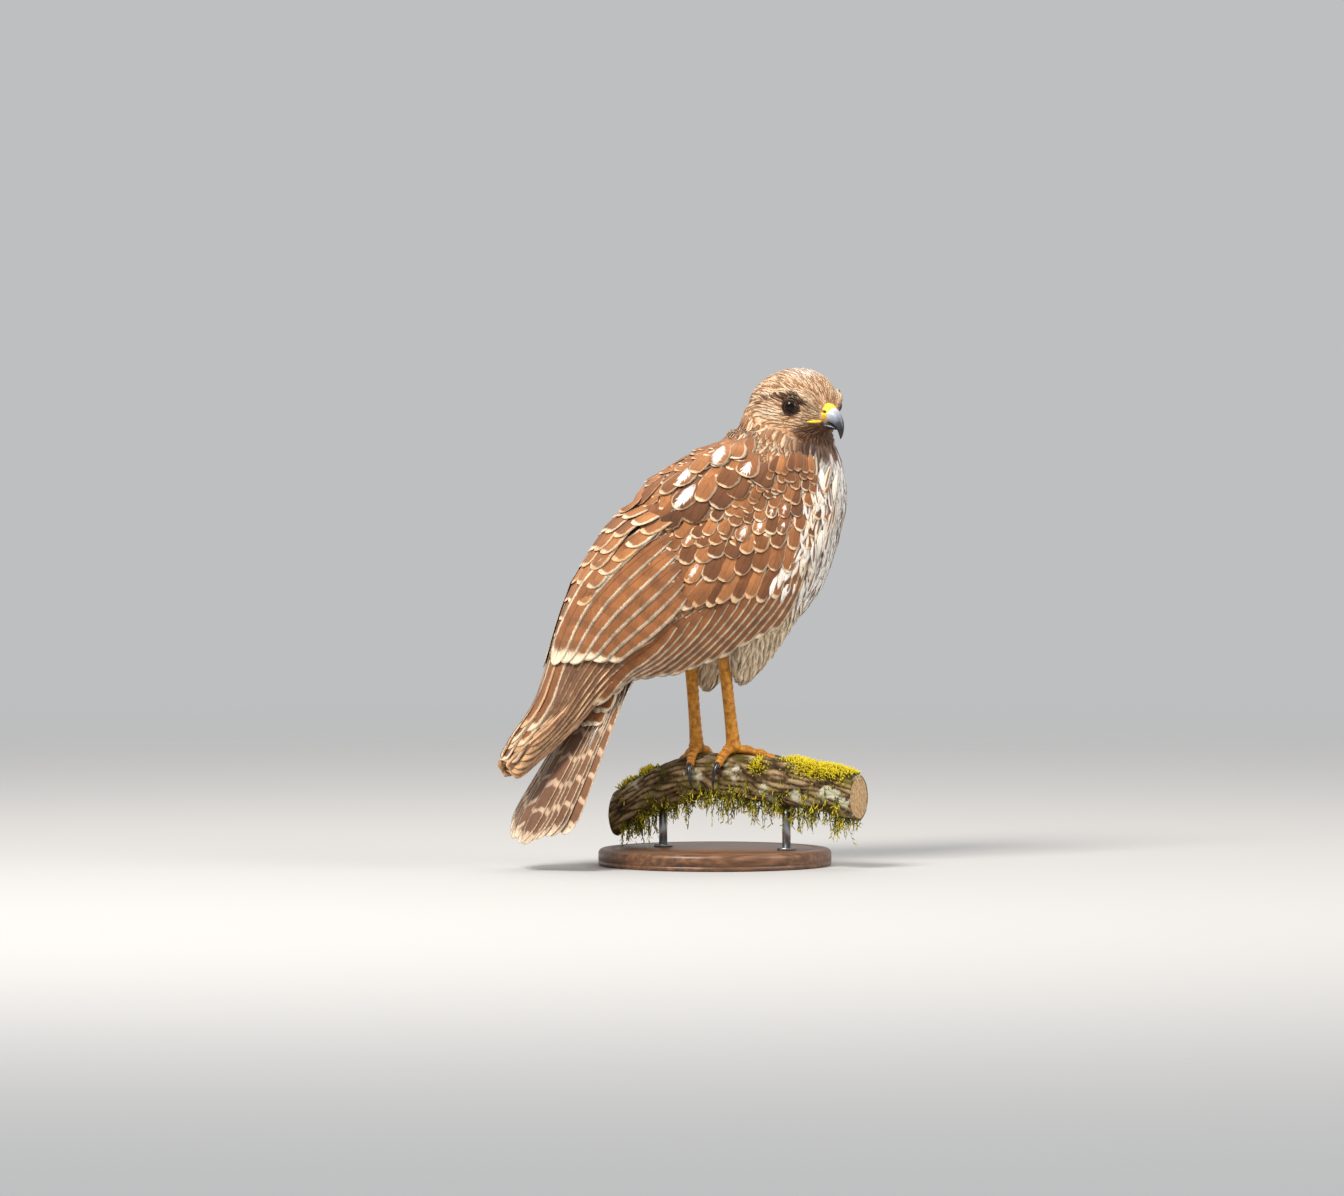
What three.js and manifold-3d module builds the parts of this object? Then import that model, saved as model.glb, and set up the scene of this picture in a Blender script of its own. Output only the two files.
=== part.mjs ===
// A life-size young hawk on a cut length of branch, held over a flat base by two rods.
// Millimetres, +Z up. The body faces +X and its left is +Y. The origin is the middle of the base's underside.
import * as THREE from "three";
import Module from "manifold-3d";

const wasm = await Module();
wasm.setup();

// Driving dimensions
const GAP = 0.3; // between pieces that touch
const SINK = 2; // how deep a piece's hidden root lies in what carries it

const BASE_RADIUS = 98;
const BASE_HEIGHT = 14;
const BASE_BEVEL = 3;
const ROD_RADIUS = 3.5;
const ROD_SOCKET = 8; // depth of each rod's end in the base and in the branch
const PERCH_TOP = 95; // height of the branch's top under the feet
const PERCH_RADIUS = 19.5;
const PERCH_TURN = -45; // the branch's direction in plan, in degrees from +X
const PERCH_ENDS = [-90, 132]; // its two cut ends, along it from the feet
const PERCH_FALL = [34, 16]; // how far each end droops below the middle
const ROD_PLACES = [-48, 66];

// The trunk from inside the head to the rump: x, z, then reach to the back, to the belly and to each side
const TRUNK = [
  [50, 304, 8, 10, 8],
  [53, 292, 31, 24, 22],
  [60, 270, 48, 44, 37],
  [52, 243, 47, 72, 48],
  [32, 210, 69, 87, 56],
  [8, 176, 84, 93, 60],
  [-20, 147, 76, 72, 57],
  [-46, 122, 56, 51, 46],
  [-68, 98, 37, 37, 33],
  [-84, 78, 22, 23, 20],
  [-93, 66, 7, 8, 7],
];
const TRUNK_POWER = 2.3; // above 2 the section is fuller than an ellipse
const NECK_CUT = 2.5; // the row of TRUNK where the neck is parted from the torso

// The head turns on the neck. Rows: forward, middle height, reach up, reach down, reach to each side
const HEAD_AT = [70.5, 0, 290];
const HEAD_YAW = -65;
const HEAD_PITCH = 10;
const SKULL = [
  [-41, -6, 6, 8, 7],
  [-38, -6, 13, 16, 14],
  [-31, -5, 22, 26, 24],
  [-18, -3, 31, 34, 32],
  [-3, -1, 35, 36.5, 35.5],
  [10, 0, 35, 36, 35.5],
  [21, 0, 32, 32.5, 31.5],
  [30, 0, 26, 27, 25],
  [37, -1, 18.5, 20, 17],
  [42, -2, 11, 13, 10],
  [44.5, -2, 5, 6, 4.5],
];
const SKULL_POWER = 2.05;
const EYE_AT = [20.3, 23.4, 4.6]; // forward, outward and up from the head's middle
const EYE_RADIUS = 9;
const EYE_AZIMUTH = 56; // the way each eye looks, in degrees from straight ahead
const LID_RADIUS = 7.1;
const LID_THICKNESS = 1.5;
// The brow's crest over each eye: forward, outward, up, radius
const BROW = [
  [41, 8, 7, 1.5],
  [35, 17, 11, 3.2],
  [27, 26.5, 14, 3.8],
  [17, 32.5, 14.5, 3.4],
  [6, 35, 13, 1.5],
];
// Upper bill along its curved middle line: forward, up, half height, half width
const UPPER_BILL = [
  [35, 2.5, 8.2, 9],
  [42, 2.3, 7.6, 8.2],
  [48.5, 1.2, 6.7, 7],
  [54, -1.2, 5.6, 5.7],
  [58.4, -4.8, 4.3, 4.4],
  [61, -9.2, 2.9, 3],
  [62, -13.5, 1.5, 1.6],
  [61.8, -16, 0.35, 0.4],
];
const NOSTRIL_AT = [43, 3.6]; // forward and up
const NOSTRIL_RADIUS = 1.3;
const CERE_END = 47; // forward, where the soft cere gives way to horn
const LOWER_BILL = [
  [28, -9.6, 2.2, 9.5],
  [36, -8.8, 2.8, 8.2],
  [44, -8.2, 2.9, 6.8],
  [51, -8.2, 2.6, 5],
  [56, -8.8, 1.4, 3],
];
// The line of the mouth on each cheek: forward and degrees round from the crown
const GAPE = [
  [42, 101],
  [38, 108],
  [34, 112],
];
const GAPE_RADIUS = 1;

// A folded wing from the wrist to the tip. Each row has its upper edge and its lower edge in side view (x, z, x, z),
// then how far out the upper edge, the middle and the lower edge lie, and half the core's thickness.
const WING = [
  [71, 231, 87, 207, 33, 38, 35, 4],
  [54, 237, 83, 184, 39, 51, 47, 8],
  [20, 229, 63, 154, 43, 61, 56, 10],
  [-13, 217, 41, 126, 43, 66, 59, 10],
  [-50, 201, 10, 107, 39, 67, 58, 10],
  [-83, 179, -26, 87, 31, 62, 53, 8],
  [-113, 147, -60, 74, 22, 53, 47, 5],
  [-131, 112, -92, 68, 14, 42, 41, 3.2],
  [-142, 80, -114, 51, 11, 34, 35, 2.6],
  [-155, 42, -137, 25, 8, 25, 27, 2.2],
  [-176, 12, -162, 3, 6, 16, 17, 1.8],
  [-188, -10, -182, -13, 5, 10, 10, 1.4],
];

// Rows of overlapping feathers on a wing. A row runs from one root to another, and its feathers point from there by
// the same step; places are [row of WING, share from upper to lower edge]. Then the width, how far the tips stand off
// at their ends, and whether the feathers are long ones, which reach beyond the core and so keep a thin underside.
const WING_ROWS = [
  { count: 5, from: [5.8, 0.88], to: [4.8, 0.3], tips: [[11.3, 0.7], [8.8, 0.24]], width: 20, rise: 1, long: true },
  { count: 6, from: [2.2, 0.78], to: [5.2, 0.68], tips: [[4.2, 1.06], [8, 0.98]], width: 27, rise: 1.9, long: true },
  { count: 3, from: [3.8, 0.1], to: [4.0, 0.42], tips: [[7.6, 0.03], [7, 0.48]], width: 29, rise: 2.8, long: true },
  { count: 6, from: [0.9, 0.76], to: [4.6, 0.5], tips: [[2.3, 0.98], [6.2, 0.72]], width: 27, rise: 3.1 },
  { count: 5, from: [0.7, 0.55], to: [3.6, 0.34], tips: [[1.8, 0.76], [4.9, 0.52]], width: 28, rise: 4 },
  { count: 4, from: [0.5, 0.3], to: [2.7, 0.16], tips: [[1.7, 0.52], [4.1, 0.36]], width: 31, rise: 4.8 },
  { count: 4, from: [0.7, 0.07], to: [3.7, 0.1], tips: [[2, 0.22], [5.4, 0.22]], width: 31, rise: 5.4 },
];
// Half width along a feather, as shares of its length and of its whole half width
const LONG_PROFILE = [
  [0, 0.55],
  [0.4, 0.95],
  [0.75, 0.97],
  [0.95, 0.7],
  [1, 0.28],
];
const COVERT_PROFILE = [
  [0, 0.6],
  [0.55, 1],
  [0.88, 0.72],
  [1, 0.2],
];
const WING_SINK = 4; // how deep the feathers' undersides lie in the core
const VANE_THICKNESS = 1;
const VANE_SHINGLE = 0.55; // how far one edge stands above the other, each way
const SPREAD = 0.12; // seeded variation of a feather's length and width

const TAIL_ROOT = [-73, 0, 105];
const TAIL_PITCH = 58; // below the horizontal
const TAIL_SWING = 12; // its tip turned towards the right
const TAIL_TWIST = 4; // its upper side turned towards the right
const TAIL_LENGTH = 210;
const TAIL_SHORTER = 18; // the outermost feathers end this much earlier
const TAIL_FEATHERS = 12;
const TAIL_HALF = [10, 38]; // how far out the outermost feathers' shafts lie at root and tip
const TAIL_VANE = 18; // width of a tail feather
const TAIL_TENT = 9; // how far the outer edges lie below the middle
const TAIL_STACK = 0.6; // each feather lies this far below its inner neighbour
// The feathered stump that carries them: distance, half width, half thickness
const TAIL_STUMP = [
  [-20, 14, 12],
  [10, 17, 12],
  [35, 19, 9],
  [60, 20, 5],
  [80, 17, 2],
];
const TAIL_QUILLS_AT = 25; // distance where the feathers' blades begin
// Small feathers over and under their roots: how many, and how far their roots and tips stand off the tail
const TAIL_COVERTS = [
  { count: 4, rootLift: 5, tipLift: 1.2 },
  { count: 3, rootLift: -4, tipLift: -3.6 },
];
const TAIL_COVERT = { distance: 40, length: 58, width: 22, rootHalf: 9, tipHalf: 13, shorter: 8 };

// Legs for a side of +1, left, or -1, right: the foot's place along the branch, then the joints
const FOOT_ALONG = { left: -17, right: 17 };
const ANKLE = { left: [-16, 18, 84], right: [0, -18, 90] };
const PALM_RADIUS = 6.6; // the ball where a foot's toes meet
const PALM_HEIGHT = 6;
const SHANK_RADIUS = 4.6;
// Thigh from inside the belly to the hanging hem of its feathers, from the ankle: x, y (outwards), z, fore-aft, sideways
const THIGH = [
  [42, 9, 60, 36, 22],
  [35, 8, 34, 32, 21],
  [26, 6, 10, 26, 17],
  [20, 4, -10, 19, 13],
  [17, 3, -25, 10, 8],
  [16, 2, -33, 4, 4],
];
const SCUTES = 10; // raised plates down the front of each shank
// Toes: heading from the branch's own direction on the left and on the right foot, length along the bark,
// radius at root and tip, length of the claw
const TOES = {
  middle: [104, 68, 42, 4.4, 3.2, 15],
  inner: [70, 95, 31, 4.5, 3.3, 18],
  outer: [146, 24, 34, 4, 3, 14],
  hind: [-80, -102, 22, 4.6, 3.4, 20],
};

const COLOURS = {
  brown: 0x8a6247,
  pale: 0xd9c4a8,
  cere: 0xe8c229,
  horn: 0x4a4f5c,
  eye: 0x2a1a10,
  leg: 0xd9a32c,
  claw: 0x1d1b1c,
  bark: 0x6b5f47,
  wood: 0x9a7650,
  steel: 0xb9bcc0,
};

const rad = THREE.MathUtils.degToRad;
const vec = (x, y, z) => new THREE.Vector3(x, y, z);

// A closed mesh as a manifold solid, turned the right way out.
function solid(positions, triangles) {
  const build = (triVerts) =>
    new wasm.Manifold(
      new wasm.Mesh({
        numProp: 3,
        vertProperties: new Float32Array(positions.flatMap((p) => [p.x, p.y, p.z])),
        triVerts: new Uint32Array(triVerts.flat()),
      }),
    );
  const made = build(triangles);
  return made.volume() > 0 ? made : build(triangles.map(([a, b, c]) => [a, c, b]));
}

// The solid inside a row of closed rings of points, with a fan over each end.
function loft(rings) {
  const count = rings[0].length;
  const positions = rings.flat();
  const triangles = [];
  for (let i = 0; i + 1 < rings.length; i++)
    for (let j = 0; j < count; j++) {
      const k = (j + 1) % count;
      const [a, b, c, d] = [i * count + j, i * count + k, (i + 1) * count + k, (i + 1) * count + j];
      // the two halves of a ring are split as mirror images, so that the faces of a thin vane match
      if (j < count / 2) triangles.push([a, b, c], [a, c, d]);
      else triangles.push([a, b, d], [b, c, d]);
    }
  for (const [ring, start, flip] of [
    [rings[0], 0, true],
    [rings.at(-1), (rings.length - 1) * count, false],
  ]) {
    const middle = positions.length;
    positions.push(ring.reduce((sum, p) => sum.add(p), vec(0, 0, 0)).divideScalar(count));
    for (let j = 0; j < count; j++) {
      const [a, b] = [start + j, start + ((j + 1) % count)];
      triangles.push(flip ? [middle, b, a] : [middle, a, b]);
    }
  }
  return solid(positions, triangles);
}

const unite = (solids) => solids.reduce((whole, piece) => whole.add(piece));

// The largest closed body of a solid, which drops loose scraps.
function largest(whole) {
  const bodies = whole.decompose();
  return bodies.reduce((best, body) => (body.volume() > best.volume() ? body : best));
}

// The value of a table at row u, where a fraction lies between rows, on a Catmull-Rom spline.
function rowAt(table, u) {
  const at = (k) => table[Math.min(Math.max(k, 0), table.length - 1)];
  const i = Math.min(Math.max(Math.floor(u), 0), table.length - 2);
  const f = u - i;
  const [a, b, c, d] = [at(i - 1), at(i), at(i + 1), at(i + 2)];
  return b.map((value, k) => {
    const slope = c[k] - a[k];
    const bend = 2 * a[k] - 5 * value + 4 * c[k] - d[k];
    const twist = 3 * value - a[k] - 3 * c[k] + d[k];
    return value + 0.5 * (slope * f + bend * f * f + twist * f * f * f);
  });
}

// A closed curve round middle with a reach up, down and sideways, squarer than an ellipse where power is above 2.
function oval(middle, up, side, reachUp, reachDown, reachSide, count, power = 2) {
  const bulge = (value) => Math.sign(value) * Math.abs(value) ** (2 / power);
  return Array.from({ length: count }, (_, j) => {
    const angle = (2 * Math.PI * j) / count;
    const rise = bulge(Math.cos(angle));
    return middle
      .clone()
      .addScaledVector(up, rise * (rise > 0 ? reachUp : reachDown))
      .addScaledVector(side, bulge(Math.sin(angle)) * reachSide);
  });
}

// A tapered tube through rows of a point and its radii, kept upright by the side direction.
function limb(points, radii, count, side = vec(0, 1, 0)) {
  return loft(
    points.map((point, i) => {
      const along = points[Math.min(i + 1, points.length - 1)].clone().sub(points[Math.max(i - 1, 0)]);
      const up = side.clone().cross(along.normalize()).normalize();
      const [high, wide = high] = [radii[i]].flat();
      return oval(point, up, along.clone().cross(up), high, high, wide, count);
    }),
  );
}

// Evenly spaced row numbers of a table.
const steps = (table, count) =>
  Array.from({ length: count + 1 }, (_, i) => (i / count) * (table.length - 1));

// The trunk, grown outwards by grow.
const TRUNK_RINGS = 21;
const TRUNK_SIDES = 20;
function trunkFrame(u) {
  const [x, z] = rowAt(TRUNK, u);
  const [x1, z1] = rowAt(TRUNK, Math.min(u + 0.2, TRUNK.length - 1));
  const [x0, z0] = rowAt(TRUNK, Math.max(u - 0.2, 0));
  const down = vec(x1 - x0, 0, z1 - z0).normalize();
  return { middle: vec(x, 0, z), down, back: vec(down.z, 0, -down.x) };
}
function trunk(grow) {
  return loft(
    steps(TRUNK, TRUNK_RINGS).map((u) => {
      const { middle, back } = trunkFrame(u);
      const [, , toBack, toBelly, toSide] = rowAt(TRUNK, u);
      const reach = [toBack + grow, toBelly + grow, toSide + grow];
      return oval(middle, back, vec(0, 1, 0), ...reach, TRUNK_SIDES, TRUNK_POWER);
    }),
  );
}

// A slab across the trunk at row u, on its lower side where below is true.
function trunkSlab(u, below, shift) {
  const { middle, down, back } = trunkFrame(u);
  const size = 400;
  const box = new THREE.BoxGeometry(size, size, size).toNonIndexed();
  const way = down.clone().multiplyScalar(below ? 1 : -1);
  const turn = new THREE.Matrix4().makeBasis(back, back.clone().cross(way).negate(), way);
  turn.setPosition(middle.addScaledVector(way, size / 2 + shift));
  box.applyMatrix4(turn);
  return weld(box);
}

// A three.js geometry as a solid, with its doubled corners joined.
function weld(geometry) {
  const source = geometry.index ? geometry.toNonIndexed() : geometry;
  const place = source.getAttribute("position");
  const seen = new Map();
  const positions = [];
  const corner = (i) => {
    const p = vec().fromBufferAttribute(place, i);
    const key = [p.x, p.y, p.z].map((value) => Math.round(value * 1e4)).join();
    if (!seen.has(key)) seen.set(key, positions.push(p) - 1);
    return seen.get(key);
  };
  const triangles = [];
  for (let i = 0; i < place.count; i += 3) {
    const face = [corner(i), corner(i + 1), corner(i + 2)];
    if (new Set(face).size === 3) triangles.push(face);
  }
  return solid(positions, triangles);
}

const ball = (middle, radius, wide = 12, high = 8) =>
  weld(new THREE.SphereGeometry(radius, wide, high).translate(middle.x, middle.y, middle.z));

// Head pieces are made in the head's own frame and placed by this matrix.
const headFrame = new THREE.Matrix4()
  .makeRotationZ(rad(HEAD_YAW))
  .multiply(new THREE.Matrix4().makeRotationY(rad(HEAD_PITCH)))
  .setPosition(...HEAD_AT);
const inHead = (forward, outward, up) => vec(forward, outward, up).applyMatrix4(headFrame);
const headAxis = (x, y, z) => vec(x, y, z).transformDirection(headFrame);

function skull(grow) {
  return loft(
    steps(SKULL, 13).map((u) => {
      const [forward, height, up, down, side] = rowAt(SKULL, u);
      const reach = [up + grow, down + grow, side + grow];
      return oval(inHead(forward, 0, height), headAxis(0, 0, 1), headAxis(0, 1, 0), ...reach, 18, SKULL_POWER);
    }),
  );
}
// A point on the skull at a place forward and an angle round from the crown, towards one side.
function skullPoint(side, forward, degrees, grow) {
  const u = SKULL.findIndex((row) => row[0] > forward);
  const share = (forward - SKULL[u - 1][0]) / (SKULL[u][0] - SKULL[u - 1][0]);
  const [, height, up, down, wide] = rowAt(SKULL, u - 1 + share);
  const angle = rad(degrees);
  const tall = Math.cos(angle) > 0 ? up : down;
  return inHead(forward, side * (wide + grow) * Math.sin(angle), height + (tall + grow) * Math.cos(angle));
}
function gape(side) {
  const points = GAPE.map(([forward, degrees]) => skullPoint(side, forward, degrees, 0));
  return limb(points, points.map(() => GAPE_RADIUS), 6, headAxis(0, 1, 0));
}
function bill(table, grow) {
  const rows = steps(table, 7).map((u) => rowAt(table, u));
  const points = rows.map(([forward, up]) => inHead(forward, 0, up));
  const radii = rows.map(([, , high, wide]) => [high + grow, wide + grow]);
  return limb(points, radii, 10, headAxis(0, 1, 0));
}
const eyeMiddle = (side) => inHead(EYE_AT[0], side * EYE_AT[1], EYE_AT[2]);
function lids(side, grow) {
  const look = headAxis(Math.cos(rad(EYE_AZIMUTH)), side * Math.sin(rad(EYE_AZIMUTH)), 0);
  const ring = new THREE.TorusGeometry(LID_RADIUS, LID_THICKNESS + grow, 5, 12);
  const up = headAxis(0, 0, 1);
  const rise = Math.sqrt(EYE_RADIUS ** 2 - LID_RADIUS ** 2);
  const turn = new THREE.Matrix4().makeBasis(up.clone().cross(look), up, look);
  turn.setPosition(eyeMiddle(side).addScaledVector(look, rise - 0.4));
  return weld(ring.applyMatrix4(turn));
}
function brow(side, grow) {
  const points = BROW.map(([forward, outward, up]) => inHead(forward, side * outward, up));
  return limb(points, BROW.map((row) => row[3] + grow), 6, headAxis(0, 0, 1));
}
// A block that covers the bill up to a place forward, or from there on.
function billBlock(forward, ahead) {
  const size = 60;
  const middle = forward + (ahead ? size / 2 : -size / 2);
  const block = new THREE.BoxGeometry(size, size, size).translate(middle, 0, 0);
  return weld(block.applyMatrix4(headFrame));
}
function nostril() {
  const [forward, up] = NOSTRIL_AT;
  const hole = new THREE.CylinderGeometry(NOSTRIL_RADIUS, NOSTRIL_RADIUS, 30, 8);
  const turn = headFrame.clone().multiply(new THREE.Matrix4().makeTranslation(forward, 0, up));
  const core = bill(UPPER_BILL, -2.2);
  return weld(hole.applyMatrix4(turn)).subtract(core);
}

// A point on a folded wing's outer face: u is the row of WING, v runs from its upper edge, 0, to its lower edge, 1.
function wingPoint(side, u, v, lift = 0) {
  const [x0, z0, x1, z1, high, middle, low] = rowAt(WING, u);
  const bulge = 2 * middle - (high + low) / 2;
  const out = (1 - v) ** 2 * high + 2 * v * (1 - v) * bulge + v * v * low;
  const point = vec(x0 + (x1 - x0) * v, side * out, z0 + (z1 - z0) * v);
  if (!lift) return point;
  return point.addScaledVector(wingNormal(side, u, v), lift);
}
function wingNormal(side, u, v) {
  const along = wingPoint(side, Math.min(u + 0.1, WING.length - 1), v).sub(wingPoint(side, u - 0.1, v));
  const across = wingPoint(side, u, v + 0.05).sub(wingPoint(side, u, v - 0.05));
  const normal = along.cross(across).normalize();
  return normal.y * side < 0 ? normal.negate() : normal;
}
function wingCore(side) {
  const across = 5;
  return loft(
    steps(WING, 11).map((u) => {
      const half = rowAt(WING, u)[7];
      const outer = Array.from({ length: across + 1 }, (_, j) => wingPoint(side, u, j / across));
      const inner = outer.slice(1, -1).map((p, j) => {
        const v = (j + 1) / across;
        const depth = 2 * half * Math.sqrt(Math.sin(Math.PI * v));
        const deep = p.clone().addScaledVector(wingNormal(side, u, v), -depth);
        deep.y = side * Math.max(side * deep.y, 1);
        return deep;
      });
      return [...outer, ...inner.reverse()];
    }),
  );
}

// Seeded variation, the same at every run.
let seed = 7;
function varied(value) {
  seed = (seed * 16807) % 2147483647;
  return value * (1 + SPREAD * (seed / 2147483647 - 0.5));
}

// A feather laid along a path on a surface. The surface gives a point for a place on it and a lift off it;
// path(share) is the place and the step across for a millimetre. One of its edges stands above the other.
function vane(surface, path, width, top, bottom, long) {
  return loft(
    (long ? LONG_PROFILE : COVERT_PROFILE).map(([share, wide]) => {
      const { place, across } = path(share);
      const half = 0.5 * width * wide;
      const at = (offset, lift) => surface(place[0] + across[0] * offset, place[1] + across[1] * offset, lift);
      const [high, low] = [top(share), bottom(share)];
      const upper = [at(-half, high - VANE_SHINGLE), at(half, high + VANE_SHINGLE)];
      const lower = [at(half, low + VANE_SHINGLE), at(-half, low - VANE_SHINGLE)];
      return [...upper, ...lower];
    }),
  );
}

// One feather of a wing from a root to a tip, both as places on WING.
function wingVane(side, root, tip, width, rise, long) {
  const surface = (u, v, lift) => wingPoint(side, u, v, lift);
  const middle = [(root[0] + tip[0]) / 2, (root[1] + tip[1]) / 2];
  const at = wingPoint(side, ...middle);
  const byRow = wingPoint(side, middle[0] + 0.5, middle[1]).sub(wingPoint(side, middle[0] - 0.5, middle[1]));
  const byShare = wingPoint(side, middle[0], middle[1] + 0.5).sub(wingPoint(side, middle[0], middle[1] - 0.5));
  const along = wingPoint(side, ...tip).sub(wingPoint(side, ...root)).normalize();
  const normal = wingNormal(side, ...middle);
  const cross = normal.clone().cross(along).normalize().multiplyScalar(side);
  // the step in rows and shares that moves one millimetre across the feather
  const [a, b, c] = [byRow.dot(byRow), byRow.dot(byShare), byShare.dot(byShare)];
  const [p, q] = [cross.dot(byRow), cross.dot(byShare)];
  const scale = a * c - b * b;
  const across = [(p * c - q * b) / scale, (q * a - p * b) / scale];
  const path = (share) => ({
    place: root.map((value, k) => value + (tip[k] - value) * share),
    across,
  });
  const top = (share) => rise * Math.min(1, 0.2 + 1.6 * share);
  const bottom = (share) => (long && share > 0.5 ? top(share) - VANE_THICKNESS : -WING_SINK);
  return vane(surface, path, width, top, bottom, long);
}

// All the feathers of one wing, from the lowest tier to the highest.
function plumage(side) {
  return WING_ROWS.flatMap(({ count, from, to, tips, width, rise, long }) =>
    Array.from({ length: count }, (_, i) => {
      const share = i / (count - 1);
      const mix = (a, b) => a.map((value, k) => value + (b[k] - value) * share);
      const root = mix(from, to);
      const tip = mix(...tips);
      tip[0] = root[0] + varied(tip[0] - root[0]);
      return wingVane(side, root, tip, varied(width), rise, long);
    }),
  );
}

// The tail's own directions: along it, to its left, and off its upper face.
const tailAlong = vec(-1, 0, 0)
  .applyAxisAngle(vec(0, 1, 0), rad(-TAIL_PITCH))
  .applyAxisAngle(vec(0, 0, 1), rad(TAIL_SWING));
const tailLevel = vec(0, 1, 0).applyAxisAngle(vec(0, 0, 1), rad(TAIL_SWING));
const tailLeft = tailLevel.applyAxisAngle(tailAlong, rad(-TAIL_TWIST));
const tailUp = tailAlong.clone().cross(tailLeft).negate();
function tailPoint(distance, sideways, lift = 0) {
  const tent = TAIL_TENT * (sideways / (TAIL_HALF[1] + TAIL_VANE / 2)) ** 2;
  return vec(...TAIL_ROOT)
    .addScaledVector(tailAlong, distance)
    .addScaledVector(tailLeft, sideways)
    .addScaledVector(tailUp, lift - tent);
}
function tailStump() {
  return loft(
    steps(TAIL_STUMP, 6).map((u) => {
      const [distance, half, thick] = rowAt(TAIL_STUMP, u);
      return oval(tailPoint(distance, 0), tailUp, tailLeft, thick, thick, half, 12);
    }),
  );
}

// One feather of the tail between two places given as distance and sideways, its top at a lift off the tail.
function tailVane(root, tip, width, rootLift, tipLift, long) {
  const path = (share) => ({ place: root.map((value, k) => value + (tip[k] - value) * share), across: [0, 1] });
  const top = (share) => rootLift + (tipLift - rootLift) * Math.min(1, 3 * share);
  return vane(tailPoint, path, width, top, (share) => top(share) - VANE_THICKNESS, long);
}
function tailFeathers() {
  const outermost = (TAIL_FEATHERS - 1) / 2;
  const flight = Array.from({ length: TAIL_FEATHERS }, (_, i) => {
    const place = (i - outermost) / outermost;
    const length = varied(TAIL_LENGTH) * 0.06 + 0.94 * TAIL_LENGTH - TAIL_SHORTER * place ** 2;
    const lift = -TAIL_STACK * Math.abs(i - outermost);
    const root = [TAIL_QUILLS_AT, TAIL_HALF[0] * place];
    return tailVane(root, [length, TAIL_HALF[1] * place], TAIL_VANE, lift, lift, true);
  });
  const { distance, length, width, rootHalf, tipHalf, shorter } = TAIL_COVERT;
  const coverts = TAIL_COVERTS.flatMap(({ count, rootLift, tipLift }) =>
    Array.from({ length: count }, (_, i) => {
      const place = (2 * i) / (count - 1) - 1;
      const end = distance + varied(length) - shorter * place ** 2;
      return tailVane([distance, rootHalf * place], [end, tipHalf * place], width, rootLift, tipLift);
    }),
  );
  return [...flight, ...coverts];
}

// Distances round the branch are laid on its surface: along it and round it from the top.
const perchWay = vec(Math.cos(rad(PERCH_TURN)), Math.sin(rad(PERCH_TURN)), 0);
const perchSide = vec(-perchWay.y, perchWay.x, 0);
function perchMiddle(along) {
  const end = along < 0 ? 0 : 1;
  const droop = PERCH_FALL[end] * Math.abs(along / PERCH_ENDS[end]) ** 1.8;
  return vec(0, 0, -PERCH_RADIUS - droop).addScaledVector(perchWay, along);
}
function onPerch(along, round, height) {
  const angle = round / PERCH_RADIUS;
  const reach = PERCH_RADIUS + height;
  return perchMiddle(along)
    .addScaledVector(perchSide, reach * Math.sin(angle))
    .add(vec(0, 0, reach * Math.cos(angle)));
}
function perchPlain() {
  const count = 11;
  const points = Array.from({ length: count + 1 }, (_, i) =>
    perchMiddle(PERCH_ENDS[0] + ((PERCH_ENDS[1] - PERCH_ENDS[0]) * i) / count),
  );
  return limb(points, points.map(() => PERCH_RADIUS), 16, perchSide);
}
function rod(along, grow) {
  const foot = perchMiddle(along);
  const low = BASE_HEIGHT - ROD_SOCKET - PERCH_TOP - grow;
  const high = foot.z - PERCH_RADIUS + ROD_SOCKET + grow;
  const shape = new THREE.CylinderGeometry(ROD_RADIUS + grow, ROD_RADIUS + grow, high - low, 12);
  shape.rotateX(Math.PI / 2).translate(foot.x, foot.y, (high + low) / 2);
  return weld(shape);
}
function base() {
  const outline = [
    [0, 0],
    [BASE_RADIUS - BASE_BEVEL / 2, 0],
    [BASE_RADIUS, BASE_BEVEL / 2],
    [BASE_RADIUS, BASE_HEIGHT - BASE_BEVEL],
    [BASE_RADIUS - BASE_BEVEL, BASE_HEIGHT],
    [0, BASE_HEIGHT],
  ].map(([r, z]) => new THREE.Vector2(r, z));
  const shape = new THREE.LatheGeometry(outline, 32).rotateX(Math.PI / 2);
  return weld(shape.translate(0, 0, -PERCH_TOP));
}

// The legs. A toe runs along the branch's surface from the foot's middle, and its claw hooks down from its tip.
const sides = { left: 1, right: -1 };
const footAt = (name) => onPerch(FOOT_ALONG[name], 0, PALM_HEIGHT);
const palm = (name, grow) => ball(footAt(name), PALM_RADIUS + grow, 8, 6);
const fromAnkle = (name, [x, y, z]) =>
  vec(...ANKLE[name]).add(vec(x, sides[name] * y, z));
function thigh(name, grow) {
  const rows = steps(THIGH, 8).map((u) => rowAt(THIGH, u));
  const points = rows.map((row) => fromAnkle(name, row));
  return limb(points, rows.map((row) => [row[3] + grow, row[4] + grow]), 12);
}
function shank(name, grow) {
  const [top, foot] = [vec(...ANKLE[name]), footAt(name)];
  const shares = Array.from({ length: SCUTES }, (_, i) => [i / SCUTES, (i + 0.82) / SCUTES]).flat();
  const points = shares.map((share) => top.clone().lerp(foot, share));
  const down = foot.clone().sub(top).normalize();
  const front = vec(1, 0, 0).addScaledVector(down, -down.x).normalize();
  const across = front.clone().cross(down);
  return loft(
    points.map((point, i) => {
      const radius = SHANK_RADIUS + grow + 1.1 * Math.abs(2 * shares[i] - 1) ** 3;
      const plate = i % 2 ? 1.1 : 0.3;
      return oval(point, front, across, radius + plate, radius, radius, 8);
    }),
  );
}
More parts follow.
